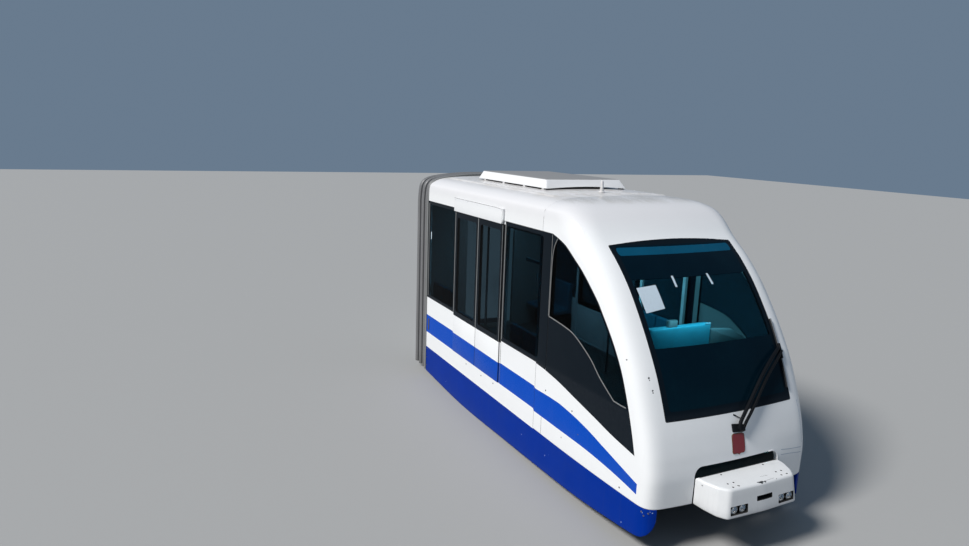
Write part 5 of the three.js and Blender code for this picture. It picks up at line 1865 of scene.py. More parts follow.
@dataclass
class DoorSet:
    """Two door leaves on each side, with their glass, rubbers and pelmet."""

    middle: float = (DOOR_REAR_X + DOOR_FRONT_X) / 2
    meet: float = 5.0
    edge: float = 3.0
    recess_x: float = 26.0
    recess_depth: float = 14.0
    pelmet_y: float = 1172.0

    def spans(self) -> dict[str, tuple[float, float]]:
        """Both leaves' rear and front ends."""
        return {"rear": (DOOR_REAR_X + self.edge, self.middle - self.meet / 2),
                "front": (self.middle + self.meet / 2, DOOR_FRONT_X - self.edge)}

    def build(self) -> None:
        """Makes the doors of both sides."""
        for label, side in SIDES.items():
            for place, (x0, x1) in self.spans().items():
                self.leaf(label, side, place, x0, x1)
            self.edges(label, side)
            self.pelmet(label, side)
            self.sill(label, side)

    def leaf(self, label: str, side: float, place: str, x0: float, x1: float) -> None:
        """One leaf: a flat panel below and a frame round the glass."""
        draft = MeshDraft()
        low, top, foot = DOOR_SILL_Z + 0.3, DOOR_TOP_Z - self.edge, LEAF_GLASS_Z - 1
        y_in, y_out = side * LEAF_IN_Y, side * LEAF_OUT_Y
        panel_x1 = self.recess_x if place == "front" else x1
        draft.block((x0, y_in, low), (panel_x1, y_out, LEAF_GLASS_Z), 4.0, 0, 3)
        if place == "front":
            y_recess = side * (LEAF_OUT_Y - self.recess_depth)
            draft.block((panel_x1 - 1, y_in, low), (x1, y_recess, LEAF_GLASS_Z), 3.0)
            draft.block((panel_x1 - 1, y_in, LEAF_GLASS_Z), (x1, y_recess, top), 3.0, 1)
        y_frame = side * (LEAF_OUT_Y - PANE - 0.3)
        for a, b, c, d in ((x0, x0 + 70, foot, top), (panel_x1 - 70, panel_x1, foot, top),
                           (x0, panel_x1, top - 70, top), (x0, panel_x1, foot, LEAF_GLASS_Z + 70)):
            draft.block((a, y_in, c), (b, y_frame, d), 3.0, 1)
        draft.release(f"door_panel_{place}_{label}", "leaf trim", Slot.WHITE,
                      f"door_leaf_{place}_{label}")
        pane = FlatPane(x0 + 2, panel_x1 - 2, LEAF_GLASS_Z + 0.3, top - self.edge, LEAF_OUT_Y,
                        (62, 62, 75, 80), glass="door_glass")
        pane.build(f"door_pane_{place}_{label}", side, f"door_glass_{place}_{label}")

    def edges(self, label: str, side: float) -> None:
        """Rubbers where the leaves meet and at their outer ends."""
        up = (0.0, side, 0.0)
        black, grey = MeshDraft(), MeshDraft()
        low, top = DOOR_SILL_Z + 6, DOOR_TOP_Z - 8
        for x, width, z1 in ((self.middle, 9.0, LEAF_GLASS_Z), (self.recess_x + 3, 7.0, top)):
            black.bead(upright(x, low, z1, side * (LEAF_OUT_Y - 3)), up, width, 3.4)
        for x, width in ((self.middle, 19.0), (DOOR_REAR_X + 11, 13.0), (self.recess_x - 8, 9.0)):
            grey.bead(upright(x, LEAF_GLASS_Z + 8, top, side * LEAF_OUT_Y), up, width, 3.0)
        recessed = side * (LEAF_OUT_Y - self.recess_depth)
        grey.bead(upright(DOOR_FRONT_X - 10, low, top, recessed), up, 10, 3.0)
        black.release(f"door_rubbers_{label}", "rubber", Slot.TRIM)
        grey.release(f"door_strips_{label}", "seal_grey", Slot.TRIM)

    def pelmet(self, label: str, side: float) -> None:
        """Cover plate over the doorway with its cut front corner, and a grey line of painted shade
        along its upper and front edge.
        """
        draft = MeshDraft()
        up, y = (0.0, side, 0.0), side * self.pelmet_y
        shape = rounded([(-1520, 2650), (2, 2650), (40, 2712), (40, 2850), (-1520, 2850)],
                        [8, 14, 14, 8, 8], 120.0)
        draft.prism(shape, "xz", side * (HALF_WIDTH + 0.3), y, 7.0, 0, 3)
        # Grey bead along the plate's edge: painted shade where the proud plate meets the wall
        edge = evenly([(-1516.0, 2847), (37, 2847), (37, 2714), (4, 2652)], 200)
        draft.bead(side_point(edge, y), up, 5.0, 0.6, finish=1)
        draft.release(f"pelmet_{label}", "white seal_grey", Slot.WHITE, f"door_pelmet_{label}")
        places = [(x, y, 2826) for x in (-1480, -1100, -720, -340, 0)]
        fasteners(f"pelmet_screws_{label}", places, up, SCREW, finish="white", slot=Slot.WHITE)

    def sill(self, label: str, side: float) -> None:
        """Ribbed step plate at the doorway's foot."""
        draft = MeshDraft()
        draft.block((DOOR_REAR_X + 6, side * 1040, FLOOR_Z), (DOOR_REAR_X + 18, side * 1098, 486),
                    1.5)
        piece = draft.build(f"door_sill_{label}", looks("steel"))
        publish(in_a_row(piece, 96, (16, 0, 0), "steel"), Body.CAR, Slot.STEEL)


# Roof


def roof_section(spacing: float) -> np.ndarray:
    """Half of the roof's section, y and z, from the cantrail to the crown."""
    v = np.linspace(NOSE.v_of(GLASS_TOP_Z + 0.3), 1.0, 220)
    seam = NOSE.raw(np.ones_like(v), v)[:, 1:3]
    top = NOSE_ROWS[-1][2]
    y = np.linspace(top, 0, 20)[1:]
    crown = np.stack([y, NOSE_ROWS[-1][0] + (CROWN_Z - NOSE_ROWS[-1][0]) * (1 - (y / top) ** 2)],
                     axis=1)
    return evenly(np.vstack([seam, crown]), spacing)


def mirrored_section(half: np.ndarray) -> np.ndarray:
    """The whole section from a half that ends on the centre line."""
    return np.vstack([half, half[-2::-1] * [-1, 1]])


def section_normals(section: np.ndarray) -> np.ndarray:
    """Outward normals of an open section over the roof, y and z."""
    run = unit(np.gradient(section, axis=0))
    return np.stack([run[:, 1], -run[:, 0]], axis=1)


@dataclass
class Roof:
    """Roof shell, plinth, equipment cover, antenna and gutters."""

    plinth_rear: float = -2450.0
    plinth_front: float = 750.0
    plinth_lift: float = 14.0
    plinth_half: float = 872.0
    rim: float = 26.0
    screw_y: float = 840.0
    cover_low: float = 3121.0
    cover_top: float = 3235.0
    feet_x: tuple = (-1600, -1000, -400, 100)

    def build(self) -> None:
        """Makes everything on the roof."""
        self.shell()
        self.gutters()
        self.plinth()
        self.cover()
        self.feet()
        self.ribs()
        self.antenna()

    def sheet_z(self, y: float) -> float:
        """Height of the raised sheet at a distance from the centre line."""
        half = roof_section(16.0)
        return float(np.interp(y, half[::-1, 0], half[::-1, 1])) + self.plinth_lift

    def shell(self) -> None:
        """The roof skin, its lining and its ends."""
        section = mirrored_section(roof_section(16.0))
        normal = section_normals(section)
        draft = MeshDraft()
        xs = np.linspace(REAR_X + 0.3, SEAM_X - 0.3, 28)

        def drawn(line: np.ndarray) -> np.ndarray:
            """The line at each place along the roof."""
            return np.stack([np.column_stack([np.full(len(line), x), line]) for x in xs])

        skin, lining = drawn(section), drawn(section - normal * WALL)
        facing = np.tile(np.column_stack([np.zeros(len(normal)), normal]), (len(xs), 1, 1))
        draft.grid(skin, 0, normals=facing)
        draft.grid(lining[:, ::-1], 1, normals=-facing[:, ::-1])
        for k in (0, -1):
            draft.strip(skin[k], lining[k], 0)
            draft.strip(skin[:, k], lining[:, k], 0)
        draft.release("roof_skin", "roof lining", Slot.WHITE, "roof_shell", smooth=40.0)

    def gutters(self) -> None:
        """Rain strips along both cantrails, apart from the doorways."""
        draft = MeshDraft()
        z = GLASS_TOP_Z + 12
        for side in (LEFT, RIGHT):
            y = side * HALF_WIDTH
            for x0, x1 in ((REAR_X + 8, -1530), (52, 1190)):
                draft.bead(evenly([(x0, y, z), (x1, y, z)], 300), (0.0, side, 0.0), 7, 1.6)
        draft.release("roof_gutters", "white", Slot.WHITE)

    def plinth(self) -> None:
        """Raised sheet on top of the roof."""
        half = roof_section(16.0)
        whole = mirrored_section(half[half[:, 0] <= self.plinth_half])
        draft = MeshDraft()
        xs = [self.plinth_rear, self.plinth_rear + self.rim, *np.linspace(-2200, 600, 12),
              self.plinth_front - self.rim, self.plinth_front]
        from_side = np.clip((self.plinth_half - np.abs(whole[:, 0])) / self.rim, 0, 1)
        rows = []
        for x in xs:
            share = min(1.0, (x - self.plinth_rear) / self.rim, (self.plinth_front - x) / self.rim)
            up = 0.6 + (self.plinth_lift - 0.6) * np.minimum(share, from_side)
            rows.append(np.column_stack([np.full(len(whole), x), whole[:, 0], whole[:, 1] + up]))
        rows = np.array(rows)
        base = rows.copy()
        base[..., 2] = whole[None, :, 1] + 0.3
        draft.grid(rows, 0)
        draft.grid(base[:, ::-1], 0)
        for k in (0, -1):
            draft.strip(rows[k], base[k])
            draft.strip(rows[:, k], base[:, k])
        draft.release("roof_raised_sheet", "roof", Slot.WHITE, "roof_plinth", smooth=25.0)
        z = self.sheet_z(self.screw_y)
        spots = [(x, side * self.screw_y, z) for x in np.linspace(-2380, 690, 17)
                 for side in (LEFT, RIGHT)]
        ways = [(0, np.sign(y) * 0.13, 1) for _, y, _ in spots]
        fasteners("roof_screws", spots, ways, SCREW, finish="cover", slot=Slot.WHITE)

    def cover(self) -> None:
        """Sloped equipment cover, open below."""
        # Rear end, front end and half width, at the lower and at the upper edge
        foot, crown = (-1822, 185, 639), (-1770, 88, 585)
        base = rounded(box(0, 2000, -1000, 1000), 24.0, 80.0) / [2000, 1000]
        height = self.cover_top - self.cover_low
        draft = MeshDraft()

        def level(t: float, shrink: float) -> np.ndarray:
            """Ring at a share of the height, drawn in by a distance."""
            rear, front, half = (a * (1 - t) + b * t for a, b in zip(foot, crown))
            low_x, width = rear + shrink, front - rear - 2 * shrink
            line = np.column_stack([low_x + width * base[:, 0], (half - shrink) * base[:, 1]])
            return np.column_stack([line, self.cover_low + height * t + self.arch(line) * (1 - t)])

        outer = [level(t, shrink) for t, shrink in (
            (0.0, 0.0), (0.25, 0.0), (0.5, 0.0), (0.75, 0.0), (0.93, 0.5), (0.985, 5.0),
            (1.0, 14.0))]
        inner = [level(t, 9.0) for t in (0.0, 0.3, 0.6, 0.85)]
        draft.grid(np.array(outer), 0, wrap_columns=True)
        draft.grid(np.array(inner)[:, ::-1], 1, wrap_columns=True)
        draft.strip(outer[0], inner[0], 0, True)
        for top, finish, crest in ((outer[-1], 0, 3.0), (inner[-1], 1, 0.0)):
            centre = top.mean(axis=0)
            middle = np.vstack([top, (top * 0.6 + centre * 0.4), centre])
            n = len(top)
            middle[n:, 2] += crest
            faces = [(i, (i + 1) % n, n + (i + 1) % n, n + i) for i in range(n)]
            faces += [(n + i, n + (i + 1) % n, 2 * n) for i in range(n)]
            draft.add(middle, faces, finish)
        draft.release("equipment_cover", "cover trim", Slot.WHITE, "roof_cover", smooth=32.0)

    def feet(self) -> None:
        """Bolted feet between the raised sheet and the cover."""
        draft = MeshDraft()
        base_z, bolt_z = self.sheet_z(605), self.sheet_z(632) + 5
        for side in (LEFT, RIGHT):
            for x in self.feet_x:
                draft.block((x - 25, side * 585, base_z + 0.3),
                            (x + 25, side * 637, self.cover_low + 8), 4.0)
                draft.block((x - 42, side * 578, base_z - 1), (x + 42, side * 640, base_z + 5), 2.0)
        draft.release("cover_feet", "white", Slot.WHITE)
        bolts = [(x + dx, side * 632, bolt_z) for side in (LEFT, RIGHT) for x in self.feet_x
                 for dx in (-32, 32)]
        fasteners("cover_bolts", bolts, [(0, np.sign(y) * 0.12, 1) for _, y, _ in bolts],
                  SMALL_BOLT)

    @staticmethod
    def arch(line: np.ndarray) -> np.ndarray:
        """How far the lower edge rises at the middle of the cover's ends."""
        at_end = np.clip((np.abs(line[:, 0] + 818) - 930) / 60, 0, 1)
        return 22.0 * at_end * (1 - np.clip(np.abs(line[:, 1]) / 560, 0, 1) ** 2)

    def ribs(self) -> None:
        """Cross ribs below the cover."""
        draft = MeshDraft()
        draft.block((-1500, -470, 3105), (-1470, 470, 3135), 3.0)
        piece = draft.build("cover_inner_ribs", looks("frame"))
        publish(in_a_row(piece, 12, (120, 0, 0), "frame"), Body.CAR, Slot.FRAME)

    def antenna(self) -> None:
        """Blade antenna on a round foot."""
        draft = MeshDraft()
        x, y, base = 690.0, -129.0, CROWN_Z + self.plinth_lift
        profile = [(0, 0.3), (44, 0.3), (44, 6), (36, 11), (28, 22), (24, 26), (0, 26)]
        draft.lathe(profile, (x, y, base), "z", 32)
        blade = rounded([(662, base + 20), (718, base + 20), (706, 3262), (676, 3262)],
                        [0, 0, 12, 12], 40.0)
        draft.prism(blade, "xz", y - 13, y + 13, 7.0, 0, 3)
        draft.release("antenna_blade", "white", Slot.WHITE, "antenna")


# Skirts and bellows

# Lower edge of the skirt: columns x, z
SKIRT_LOW = [(-2600, -190), (-1000, -257), (280, -223), (1270, -193), (2000, -165), (2632, -117),
             (2911, -93), (3038, -69), (3070, -48), (3094, -25), (3108, 6), (3118, 40), (3125, 113),
             (3128, 220)]
# Bolts of the skirt: x, z
SKIRT_BOLTS = [(-2560, 205.0), (-2560, 60.0), (-2560, -80.0), (3060, 170), (3090, 205), (3030, 205)]


@dataclass
class Skirts:
    """Blue skirt panels that hang beside the beam."""

    depth: float = 24.0
    rim: float = 9.0
    end_y: float = 974.0

    def plan(self) -> np.ndarray:
        """The skirt's outer line in plan on the left, rear to front."""
        u = np.linspace(1, 0, 700)
        skin = NOSE.raw(u, np.full_like(u, NOSE.v_of(SKIN_LOW_Z)))[:, :2]
        return np.vstack([[REAR_X, HALF_WIDTH], skin[skin[:, 1] >= self.end_y]])

    def build(self) -> None:
        """Makes one skirt for each side."""
        for label, side in SIDES.items():
            self.panel(label, side)
            self.bolts(label, side)

    def line(self) -> tuple[np.ndarray, np.ndarray]:
        """Plan points and their outward normals."""
        plan = evenly(self.plan(), 14.0)
        normal = unit(np.gradient(plan, axis=0))
        return plan, np.stack([-normal[:, 1], normal[:, 0]], axis=1)

    def panel(self, label: str, side: float) -> None:
        """One skirt with rounded lower edge."""
        plan, normal = self.line()
        low = monotone(*zip(*SKIRT_LOW))(plan[:, 0])
        top, rim = SKIN_LOW_Z - 0.6, self.rim
        foot = np.minimum(low + rim, top - 4)
        rows = []

        def row(shift: float, z: float | np.ndarray) -> None:
            """Adds one row at a shift inwards and a height."""
            xy = plan - normal * shift
            rows.append(np.column_stack([xy[:, 0], side * xy[:, 1], np.broadcast_to(z, len(plan))]))

        row(3.0, top)
        for t in np.linspace(0, 1, 9):
            row(0.0, (top - 3) * (1 - t) + foot * t)
        for angle in np.linspace(0, math.pi, 9)[1:]:
            row(rim * (1 - math.cos(angle)), foot - rim * math.sin(angle))
        row(2 * rim, np.minimum(low + 40, top - 2))
        row(self.depth, np.minimum(low + 60, top - 1))
        row(self.depth, top)
        draft = MeshDraft()
        net = np.array(rows)
        draft.grid(net, 0, wrap_rows=True)
        for k in (0, -1):
            draft.add(net[:, k], [list(range(len(net)))], 0)
        draft.release(f"skirt_panel_{label}", "blue", Slot.BLUE, f"skirt_{label}",
                      f"skirt_nose_{label}", smooth=40.0)

    def bolts(self, label: str, side: float) -> None:
        """Bolts at the rear and the front end."""
        plan, normal = self.line()
        near = [int(np.argmin(np.abs(plan[:, 0] - x))) for x, _ in SKIRT_BOLTS]
        spots = [(plan[k, 0], side * plan[k, 1], z) for k, (_, z) in zip(near, SKIRT_BOLTS)]
        ways = [(normal[k, 0], side * normal[k, 1], 0) for k in near]
        fasteners(f"skirt_bolts_{label}", spots, ways, SMALL_BOLT)


# Half of the bellows outline: columns half width, height
BELLOWS_HALF = [(1163, -150), (1163, 2677), (1150, 2842), (1130, 2935), (1081, 3006), (994, 3053),
                (829, 3089), (572, 3120), (310, 3138), (0, 3142)]


@dataclass
class Bellows:
    """Ribbed ring at the rear end, with its end frames."""

    front: float = REAR_X - 0.5
    rear: float = -3100.0
    fold_width: float = 110.0
    fold_step: float = 170.0

    def path(self) -> np.ndarray:
        """Portal line from the left leg over the top to the right leg, y and z."""
        leg = evenly(BELLOWS_HALF[:2], 60.0)
        return mirrored_section(np.vstack([leg[:-1], spline(BELLOWS_HALF[1:], 22.0)]))

    def ring(self, draft: MeshDraft, profile: Sequence[tuple[float, float]]) -> None:
        """Adds a closed profile of x and depth, drawn round the portal."""
        line = self.path()
        normal = section_normals(line)
        legs = line[:, 1] < 2600
        normal[legs] = np.stack([np.sign(line[legs, 0]), np.zeros(legs.sum())], axis=1)
        net = np.array([np.column_stack([np.full(len(line), x), line - normal * depth])
                        for x, depth in profile])
        draft.grid(net, wrap_rows=True)
        for k in (0, -1):
            draft.add(net[:, k], [list(range(len(net)))])

    def build(self) -> None:
        """Makes the folds by repeating one, then the core and the end frame."""
        width = self.fold_width
        rib = [(0.0, 64.0), (4.0, 40.0), (9.0, 16.0)]
        rib += [(15 + (width - 30) * t, 14.0 - 14.0 * math.sin(math.pi * t) ** 0.7)
                for t in np.linspace(0, 1, 11)]
        rib += [(width - 9.0, 16.0), (width - 4.0, 40.0), (width, 64.0), (width, 70.0), (0.0, 70.0)]
        folds, core, plate = MeshDraft(), MeshDraft(), MeshDraft()
        self.ring(folds, [(self.rear + x, depth) for x, depth in rib])
        piece = folds.build("bellows_folds", looks("bellows"), 50.0)
        publish(in_a_row(piece, 3, (self.fold_step, 0, 0), "bellows"), Body.CAR, Slot.BELLOWS,
                "bellows_ring")
        self.ring(core, [(self.rear + 2, 62), (self.front - 44, 62), (self.front - 44, 86),
                         (self.rear + 2, 86)])
        for x0 in (self.rear + width, self.rear + width + self.fold_step):
            fold = [(x0 + 6 + 48 * t, 56.0 - 24.0 * math.sin(math.pi * t))
                    for t in np.linspace(0, 1, 9)]
            self.ring(core, [(x0 + 6, 66.0), *fold, (x0 + 54, 66.0)])
        core.release("bellows_core", "rubber", Slot.BELLOWS, smooth=50.0)
        self.ring(plate, [(self.front + x, depth) for x, depth in (
            (-46, 78.0), (-46, 9.0), (-41, 4.0), (-6, 4.0), (0, 9.0), (0, 78.0))])
        plate.release("bellows_end_frame", "seal_grey", Slot.BELLOWS, smooth=40.0)


# Front end


# Plan of the coupler cover, columns: x, half width at the foot; x, half width at the top
COVER_PLAN = [(3171, 561, 3171, 561), (3300, 552, 3285, 547), (3442, 524, 3412, 496),
              (3537, 464, 3502, 426), (3552, 0, 3515, 0)]
LAMP_Y, LAMP_HALF, LAMP_LOW, LAMP_TOP = 317.0, 110.0, 274.0, 363.0


@dataclass
class CouplerCover:
    """Moulded cover over the front coupler, with lamps, slot and screw holes."""

    low: float = 240.0
    top: float = 530.0

    def ring(self, t: float, shrink: float) -> np.ndarray:
        """Plan outline at a share of the height."""
        half = np.array([((1 - t) * a + t * c, (1 - t) * b + t * d) for a, b, c, d in COVER_PLAN])
        corners = np.vstack([half, half[-2::-1] * [1, -1]])
        line = rounded(corners, [0, 160, 90, 60, 900, 60, 90, 160, 0], 30.0, closed=False)
        line = counted(line, 97)
        back = counted(np.array([line[-1], line[0]]), 25)
        loop = np.vstack([line, back[1:-1]])
        return inset(loop, shrink) if shrink > 0 else loop

    def build(self) -> None:
        """Makes the cover and everything on it."""
        draft = MeshDraft()
        foot, crown = 18.0, 26.0
        rows = []
        for angle in np.linspace(0, math.pi / 2, 5):
            z = self.low + foot * (1 - math.cos(angle))
            rows.append(self.at(z, foot * (1 - math.sin(angle))))
        for z in np.linspace(self.low + foot, self.top - crown, 6)[1:-1]:
            rows.append(self.at(z, 0))
        for angle in np.linspace(math.pi / 2, 0, 7):
            z = self.top - crown * (1 - math.cos(angle))
            rows.append(self.at(z, crown * (1 - math.sin(angle))))
        net = np.array(rows)
        draft.grid(net, 0, wrap_columns=True)
        for k in (0, -1):
            draft.add(net[k], [list(range(net.shape[1]))], 0)
        cover = draft.build("coupler_shell", looks("coupler", "hole_shade"), 38.0)
        # The walls that the cut leaves take the near-black hole finish: painted shade in the lamp
        # recesses, the slot and the screw holes.
        cover = cut_by(cover, self.tools(), 38.0)
        publish(cover, Body.CAR, Slot.WHITE, "coupler_cover")
        self.lamps()
        self.details()

    def at(self, z: float, shrink: float) -> np.ndarray:
        """Ring of the cover at a height."""
        t = (z - self.low) / (self.top - self.low)
        line = self.ring(t, shrink)
        return np.column_stack([line, np.full(len(line), z)])

    def holes(self) -> np.ndarray:
        """Places of the holes on top, x and y."""
        spots = []
        for cy in (-322, 332):
            spots += [(3429 + dx, cy + dy) for dx in (-35, 35) for dy in (-37, 37)]
        return np.array(spots + [(3226, -279), (3226, 298)], float)

    def tools(self) -> bpy.types.Object:
        """Everything that is cut out of the cover."""
        draft = MeshDraft()
        draft.block((3160, -400, 220), (3440, 400, 470), 20.0, 1)
        for side in (LEFT, RIGHT):
            y0, y1 = side * LAMP_Y - LAMP_HALF, side * LAMP_Y + LAMP_HALF
            shape = rounded(box(y0, y1, LAMP_LOW, LAMP_TOP), 9.0, 60.0)
            draft.prism(shape, "yz", 3470, 3620, 0.0, 1)
        slot = rounded(box(-92, 116, 361, 412), 9.0, 60.0)
        draft.prism(slot, "yz", 3496, 3620, 0.0, 1)
        for x, y in self.holes():
            draft.lathe([(0, -14), (8, -14), (8, 0), (12, 6), (0, 6)], (x, y, self.top - 4), "z",
                        14, 1)
        return draft.build("cutter", looks("coupler", "hole_shade"))

    def lamps(self) -> None:
        """Twin reflectors with lenses in each recess."""
        for label, side in SIDES.items():
            draft = MeshDraft()
            y = side * LAMP_Y
            draft.block((3470.5, y - LAMP_HALF + 2, LAMP_LOW + 1),
                        (3478, y + LAMP_HALF - 2, LAMP_TOP - 1), 1.5, 1)
            for shift in (-54.0, 54.0):
                bowl = [(38, 42), (39, 38), (36, 22), (25, 8), (9, 2), (0, 2)]
                back = [(0, -1), (11, -1), (28, 5), (39, 20), (41, 38), (40, 42)]
                draft.lathe(bowl + back, (3476, y + shift, 318.0), "x", 36, 0, closed=True)
                bulb = [(0, 26), (5, 24), (7, 18), (7, 4), (0, 4)]
                draft.lathe(bulb, (3476, y + shift, 318.0), "x", 20, 2)
            piece = draft.build(f"headlamp_set_{label}", looks("chrome", "trim", "sign"), 30.0)
            publish(piece, Body.CAR, Slot.LAMP, f"headlamp_{label}")

    def details(self) -> None:
        """Slot grille bars and the side fixing screws."""
        bars = MeshDraft()
        bars.block((3497, -86, 366), (3503, -80, 407), 1.0)
        piece = bars.build("coupler_slot_bars", looks("trim"))
        publish(in_a_row(piece, 12, (0, 17, 0), "trim"), Body.CAR, Slot.TRIM)
        scratches = MeshDraft()
        for knots in ([(3488, 42), (3482, 172)], [(3407, 60), (3414, 154)]):
            line = evenly(knots, 30.0)
            path = np.column_stack([line, np.full(len(line), self.top)])
            scratches.bead(path, (0.0, 0.0, 1.0), 3.0, 0.4)
        scratches.release("coupler_scratches", "trim", Slot.TRIM)
        spots = [(3259, side * 554.5, 488) for side in (LEFT, RIGHT)]
        ways = [(0, side, 0) for side in (LEFT, RIGHT)]
        fasteners("coupler_screws", spots, ways, SCREW)


@dataclass
class FrontFittings:
    """Wiper, its socket, and the blank shield plate."""

    pivot: tuple[float, float] = (20.0, 930.0)
    lift: float = 46.0
    # Radius of each arm, then its knots as y, z and height above the face; the radii are widened so
    # the black arms also stand in for their shadows on the glass, a painted shadow
    arms: tuple = ((19.0, ((6, 938, 40), (24, 994, 46), (131, 1104, 52), (409, 1358, 58),
                           (628, 1504, 55), (806, 1588, 40))),
                   (16.0, ((48, 922, 40), (96, 982, 46), (214, 1093, 52), (494, 1348, 58),
                           (722, 1493, 55), (846, 1558, 40))))

    def on_face(self, yz: np.ndarray, lift: float | np.ndarray) -> tuple[np.ndarray, np.ndarray]:
        """Points and normals above the front at y and z."""
        uv = NOSE.from_front(np.asarray(yz, float).reshape(-1, 2))
        return NOSE.place(uv, -np.asarray(lift, float))

    def build(self) -> None:
        """Makes all fittings of the front."""
        self.wiper()
        self.plate()

    def wiper(self) -> None:
        """Twin arms from the socket to the blade along the screen's edge."""
        draft = MeshDraft()
        (base, ), (way, ) = self.on_face([self.pivot], 0.0)
        angle = Vector(way).to_track_quat("Z", "Y").to_matrix()
        spindle = MeshDraft()
        spindle.lathe([(0, 0.4), (34, 0.4), (34, 20), (27, 48), (22, 58), (0, 60)], (0, 0, 0), "z",
                      28)
        turned = np.vstack(spindle.points) @ np.array(angle).T + base
        draft.add(turned, spindle.faces, 0)
        for radius, knots in self.arms:
            points, _ = self.on_face(np.array(knots)[:, :2], np.array(knots)[:, 2])
            # The thick black arms include their shadows on the glass: painted shadow
            draft.tube(spline(points, 25.0), radius, sides=10)
        clip = spline([(824, 1490), (833, 1560), (840, 1630)], 20.0)
        points, normals = self.on_face(clip, self.lift - 12)
        draft.bead(points, normals, 28, 14, sink=10)
        blade = spline([(864, 1872), (855, 1759), (841, 1570), (831, 1365), (825, 1209)], 30.0)
        points, normals = self.on_face(blade, 16.0)
        draft.bead(points, normals, 17, 9, finish=1, sink=9)
        points, normals = self.on_face(blade, 5.0)
        draft.bead(points, normals, 6, 9, finish=1, sink=2)
        points, normals = self.on_face(blade, 25.5)
        draft.bead(points, normals, 13, 4, finish=2)
        piece = draft.build("wiper_set", looks("wiper", "rubber", "steel"))
        publish(piece, Body.CAR, Slot.TRIM, "wiper")
        self.socket()

    def socket(self) -> None:
        """Dark housing at the foot of the arms, and the washer nozzle beside it."""
        draft = MeshDraft()
        shape = rounded([(-66, 900), (60, 886), (98, 892), (104, 952), (40, 968), (-68, 980)], 9.0,
                        30.0)
        rows = [self.on_face(inset(shape, depth) if depth else shape, lift)[0]
                for depth, lift in ((0.0, 0.3), (0.0, 12.0), (2.0, 17.0), (8.0, 20.0))]
        draft.grid(np.array(rows), 0, wrap_columns=True)
        n = len(shape)
        draft.add(rows[-1], [list(range(n))], 0)
        draft.add(rows[0], [list(range(n))[::-1]], 0)
        for knots, width in (([(-14, 1058), (20, 1040), (66, 1016)], 8.0),
                             ([(-22, 1062), (8, 1046)], 15.0)):
            points, normals = self.on_face(evenly(knots, 12.0), 0.2)
            draft.bead(points, normals, width, 9, sink=1)
        draft.release("wiper_socket", "trim", Slot.TRIM, smooth=30.0)

    def plate(self) -> None:
        """Blank maroon shield with a bronze edge."""
        shield = [(-84, 870), (-87, 702), (-74, 684), (-16, 682), (2, 670), (20, 682), (70, 682),
                  (84, 700), (87, 866), (60, 882), (-60, 885)]
        outline = rounded(shield, [10, 10, 10, 6, 4, 6, 10, 10, 10, 12, 12], 20.0)
        for name, loop, low, high, finish in (
                ("shield_edge", outline, 0.4, 5.0, "bronze"),
                ("shield_plate", inset(outline, 5.0), 4.0, 6.5, "emblem")):
            draft = MeshDraft()
            foot, _ = self.on_face(loop, low)
            crown, _ = self.on_face(inset(loop, 1.5), high)
            n = len(loop)
            draft.strip(foot, crown, 0, True)
            draft.add(crown, [list(range(n))], 0)
            draft.add(foot, [list(range(n))[::-1]], 0)
            draft.release(name, finish, Slot.TRIM)


# Inside


